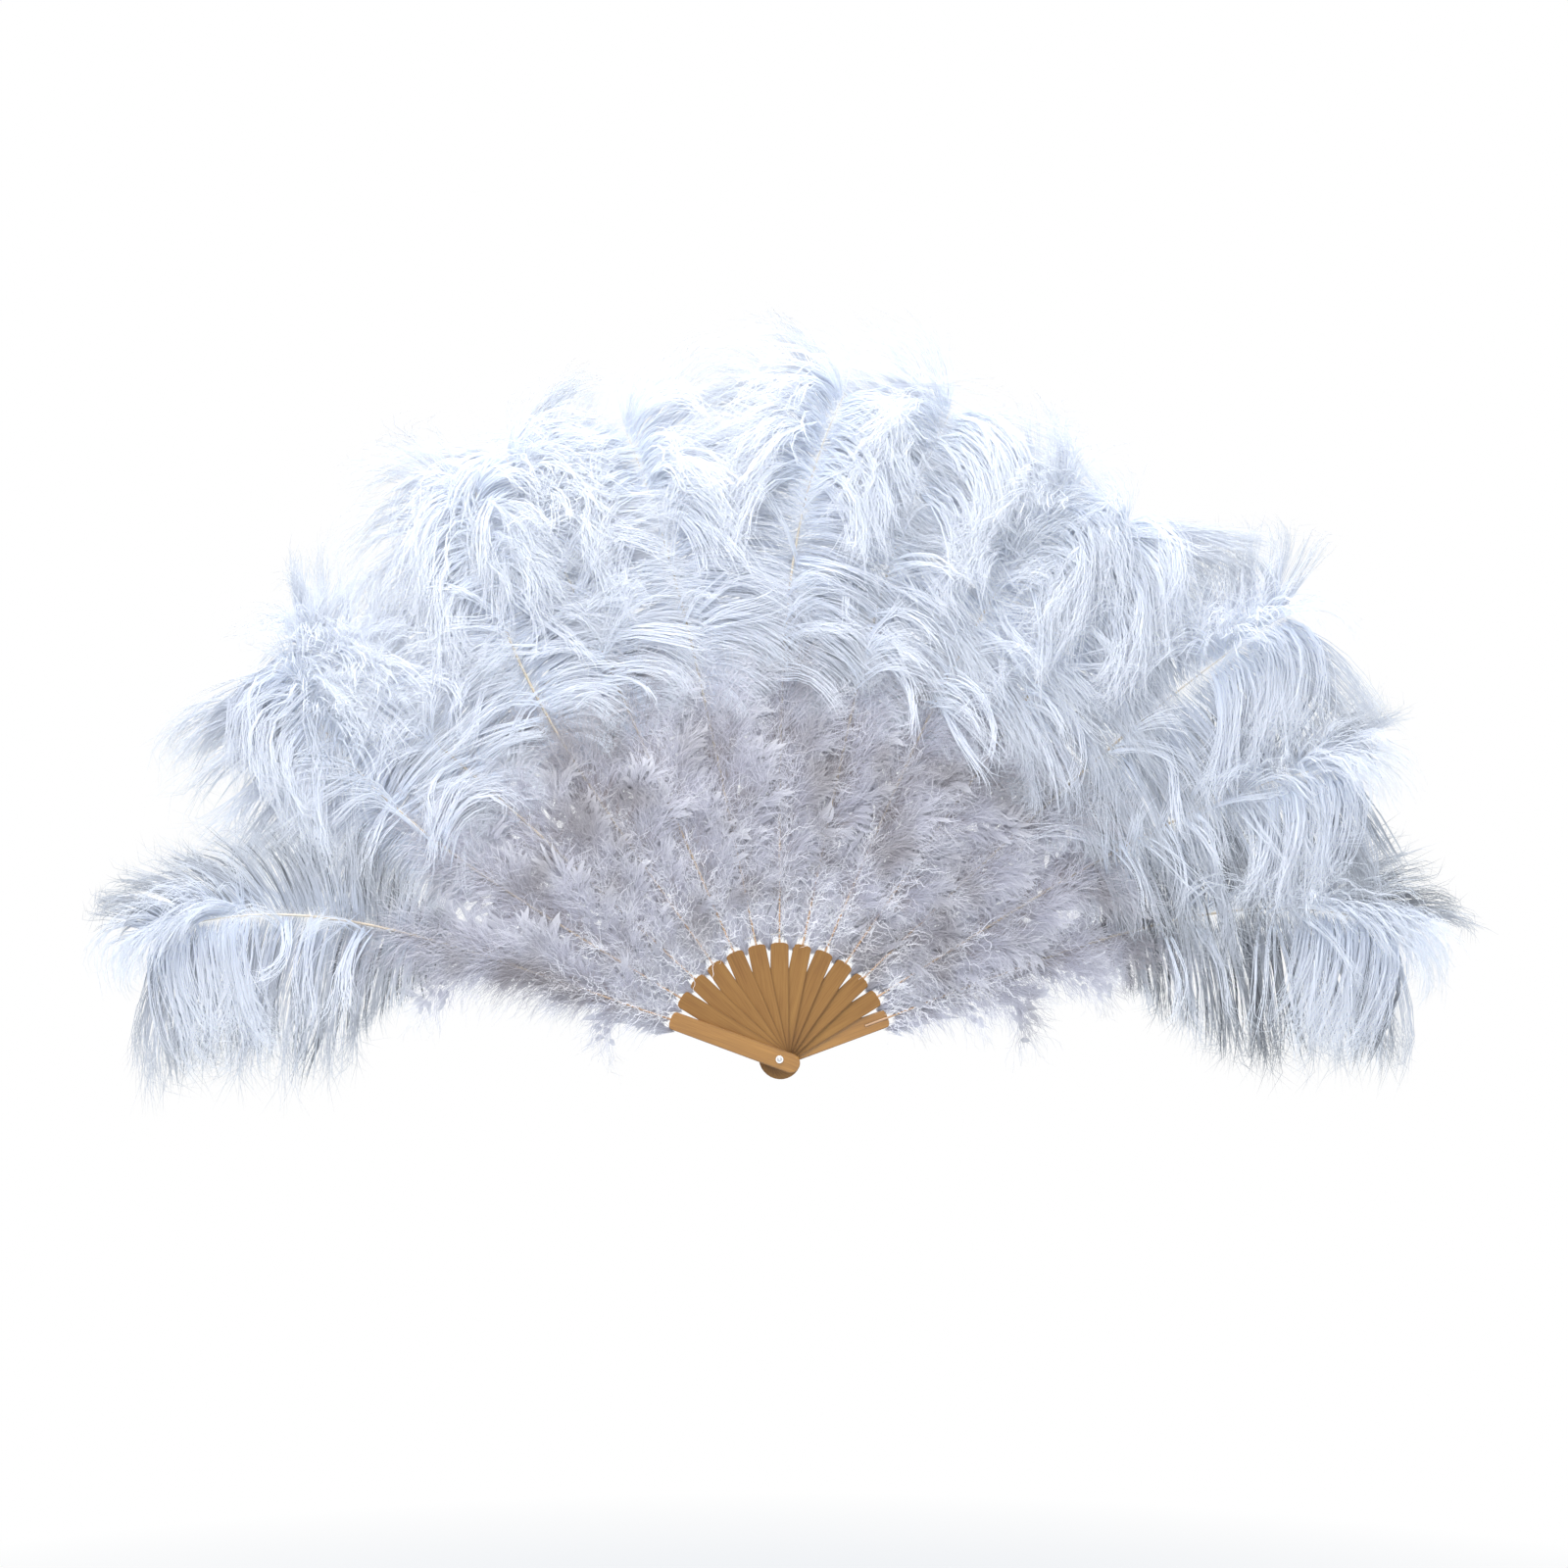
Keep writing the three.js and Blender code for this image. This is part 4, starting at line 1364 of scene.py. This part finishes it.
# The thread is wound round each quill
def windKnot(index, finish):
    turns = np.linspace(0, 1, thread["turns"] * thread["turnSteps"] + 1)
    x, y, z = threadSpot(index)
    ring = quillThickness(index, fan["threadRadius"]) / 2 + thread["clear"] + thread["thick"] / 2
    way = turns * thread["turns"] * 2 * math.pi
    risen = z + thread["rise"] * (turns - 0.5)
    spots = turned(x + ring * np.cos(way), y + ring * np.sin(way), risen, staveAngle(index))
    knot = bendThread(numbered("thread_knot", index), spots)
    fitPiece(knot, finish, bodyName(index), "linking_thread")


# Where a smooth ease from 0 to 1 has reached a share
def easeBack(share):
    return 0.5 - math.sin(math.asin(1 - 2 * share) / 3)


# It runs on to the next quill
def stretchSpan(index, finish):
    first, last = (turned(*threadSpot(spot), staveAngle(spot)) for spot in (index, index + 1))
    run = np.linspace(0, 1, thread["spanSteps"])
    spots = first + (last - first) * run[:, None]
    spots[:, 2] -= thread["slack"] * 4 * run * (1 - run)
    span = bendThread(numbered("thread_span", index), spots)
    dress(span, finish)
    early, late = easeBack(index / lastStave), easeBack((index + 1) / lastStave)
    whole = (last - first) / (late - early)
    start = first - whole * early
    tuple(start + whole)
    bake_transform(span)
    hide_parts("linking_thread")


stage = {
    "floorHeight": -0.9,
    "floorSize": 14.0,
    "cameraSpot": (0.0042, -3.0, 0.2586),
    "lens": 73.0,
    "sensor": 36.0,
    "floorColour": shade(246, 246, 247),
    "floorFade": (0.8, 2.2),
    "skyColour": (0.8, 0.89, 1.0, 1),
    "skyHeights": (-0.6, 0.8),
    "skyStrengths": (0.12, 0.68),
    "white": (1, 1, 1, 1),
}
lamps = {
    "keyLamp": {
        "spot": (-0.35, -1.0, 1.5),
        "aim": (-0.05, 0, 0.45),
        "size": 1.2,
        "power": 25.0,
        "colour": (1.0, 0.995, 0.985),
    },
    "fillLamp": {
        "spot": (0.3, -2.8, 0.1),
        "aim": (0, 0, 0.2),
        "size": 1.6,
        "power": 7.0,
        "colour": (0.95, 0.975, 1.0),
    },
    "topLamp": {
        "spot": (0.15, -0.2, 1.7),
        "aim": (0, 0, 0.5),
        "size": 1.2,
        "power": 22.0,
        "colour": (0.95, 0.975, 1.0),
    },
}


# A floor that turns plain white away from the fan
def layFloor():
    bpy.ops.mesh.primitive_plane_add(size=stage["floorSize"], location=(0, 0, stage["floorHeight"]))
    floor = bpy.context.active_object
    floor.name = "floor"
    finish = Finish("floor_white", roughness=0.9, specular=0.1)
    finish.colour(stage["floorColour"])
    spot = finish.node("ShaderNodeTexCoord", output="Object")
    distance = finish.node("ShaderNodeVectorMath", {"operation": "LENGTH"}, [spot], output="Value")
    white = finish.node("ShaderNodeEmission", {}, {"Color": stage["white"], "Strength": 1.0})
    lit = Wire(finish, finish.shader.outputs[0])
    share = finish.seen() * finish.limit(distance, *stage["floorFade"])
    mixed = finish.node("ShaderNodeMixShader", {}, [share, lit, white])
    finish.connect(mixed, finish.tree.nodes["Material Output"].inputs["Surface"])
    dress(floor, finish.material)


def hangLamp(name, spot, aim, size, power, colour):
    bpy.ops.object.light_add(type="AREA", location=spot)
    lamp = bpy.context.active_object
    lamp.name = name
    lamp.data.shape = "DISK"
    lamp.data.size = size
    lamp.data.energy = power
    lamp.data.color = colour
    gap = np.array(aim) - np.array(spot)
    lamp.rotation_euler = (math.atan2(math.hypot(gap[0], gap[1]), -gap[2]), 0, math.atan2(-gap[0], gap[1]))


# A soft sky that is brighter above, and plain white where it is seen
def lightStage():
    world = bpy.data.worlds.new("studio")
    bpy.context.scene.world = world
    world.use_nodes = True
    world.node_tree.nodes.clear()
    sky = Nodes(world.node_tree)
    way = sky.node("ShaderNodeTexCoord", output="Generated")
    height = sky.node("ShaderNodeSeparateXYZ", {}, [way], output="Z")
    strength = sky.limit(height, *stage["skyHeights"], *stage["skyStrengths"])
    soft = sky.node("ShaderNodeBackground", {}, {"Color": stage["skyColour"], "Strength": strength})
    white = sky.node("ShaderNodeBackground", {}, {"Color": stage["white"], "Strength": 1.0})
    chosen = sky.node("ShaderNodeMixShader", {}, [sky.seen(), soft, white])
    output = world.node_tree.nodes.new("ShaderNodeOutputWorld")
    sky.connect(chosen, output.inputs["Surface"])
    for name, lamp in lamps.items():
        hangLamp(name, **lamp)


def setCamera():
    bpy.ops.object.camera_add(location=stage["cameraSpot"], rotation=(math.pi / 2, 0, 0))
    camera = bpy.context.active_object
    camera.data.lens = stage["lens"]
    camera.data.sensor_width = stage["sensor"]
    bpy.context.scene.camera = camera


setCamera()
layFloor()
lightStage()
bpy.context.scene.view_settings.view_transform = "Standard"
print("stage, lamps and camera are set")

finishStaves()
rivetSteel = steelFinish()
makeRivet(rivetSteel)
for washerName in ("front_washer", "rear_washer"):
    makeWasher(washerName, rivetSteel)
print("staves, rivet and washers are finished")

quillHorn = quillFinish()
ostrichWhite = featherFinish("ostrich_white")
marabouWhite = featherFinish("marabou_white")
for staveNumber in range(fan["staves"]):
    bendQuill(staveNumber, quillHorn)
    growMarabou(staveNumber, marabouWhite)
    growPlume(staveNumber, ostrichWhite)
print("quills, marabou and plumes are grown")

threadWhite = threadFinish()
for staveNumber in range(fan["staves"]):
    windKnot(staveNumber, threadWhite)
for staveNumber in range(lastStave):
    stretchSpan(staveNumber, threadWhite)
print("the linking thread is wound and stretched")
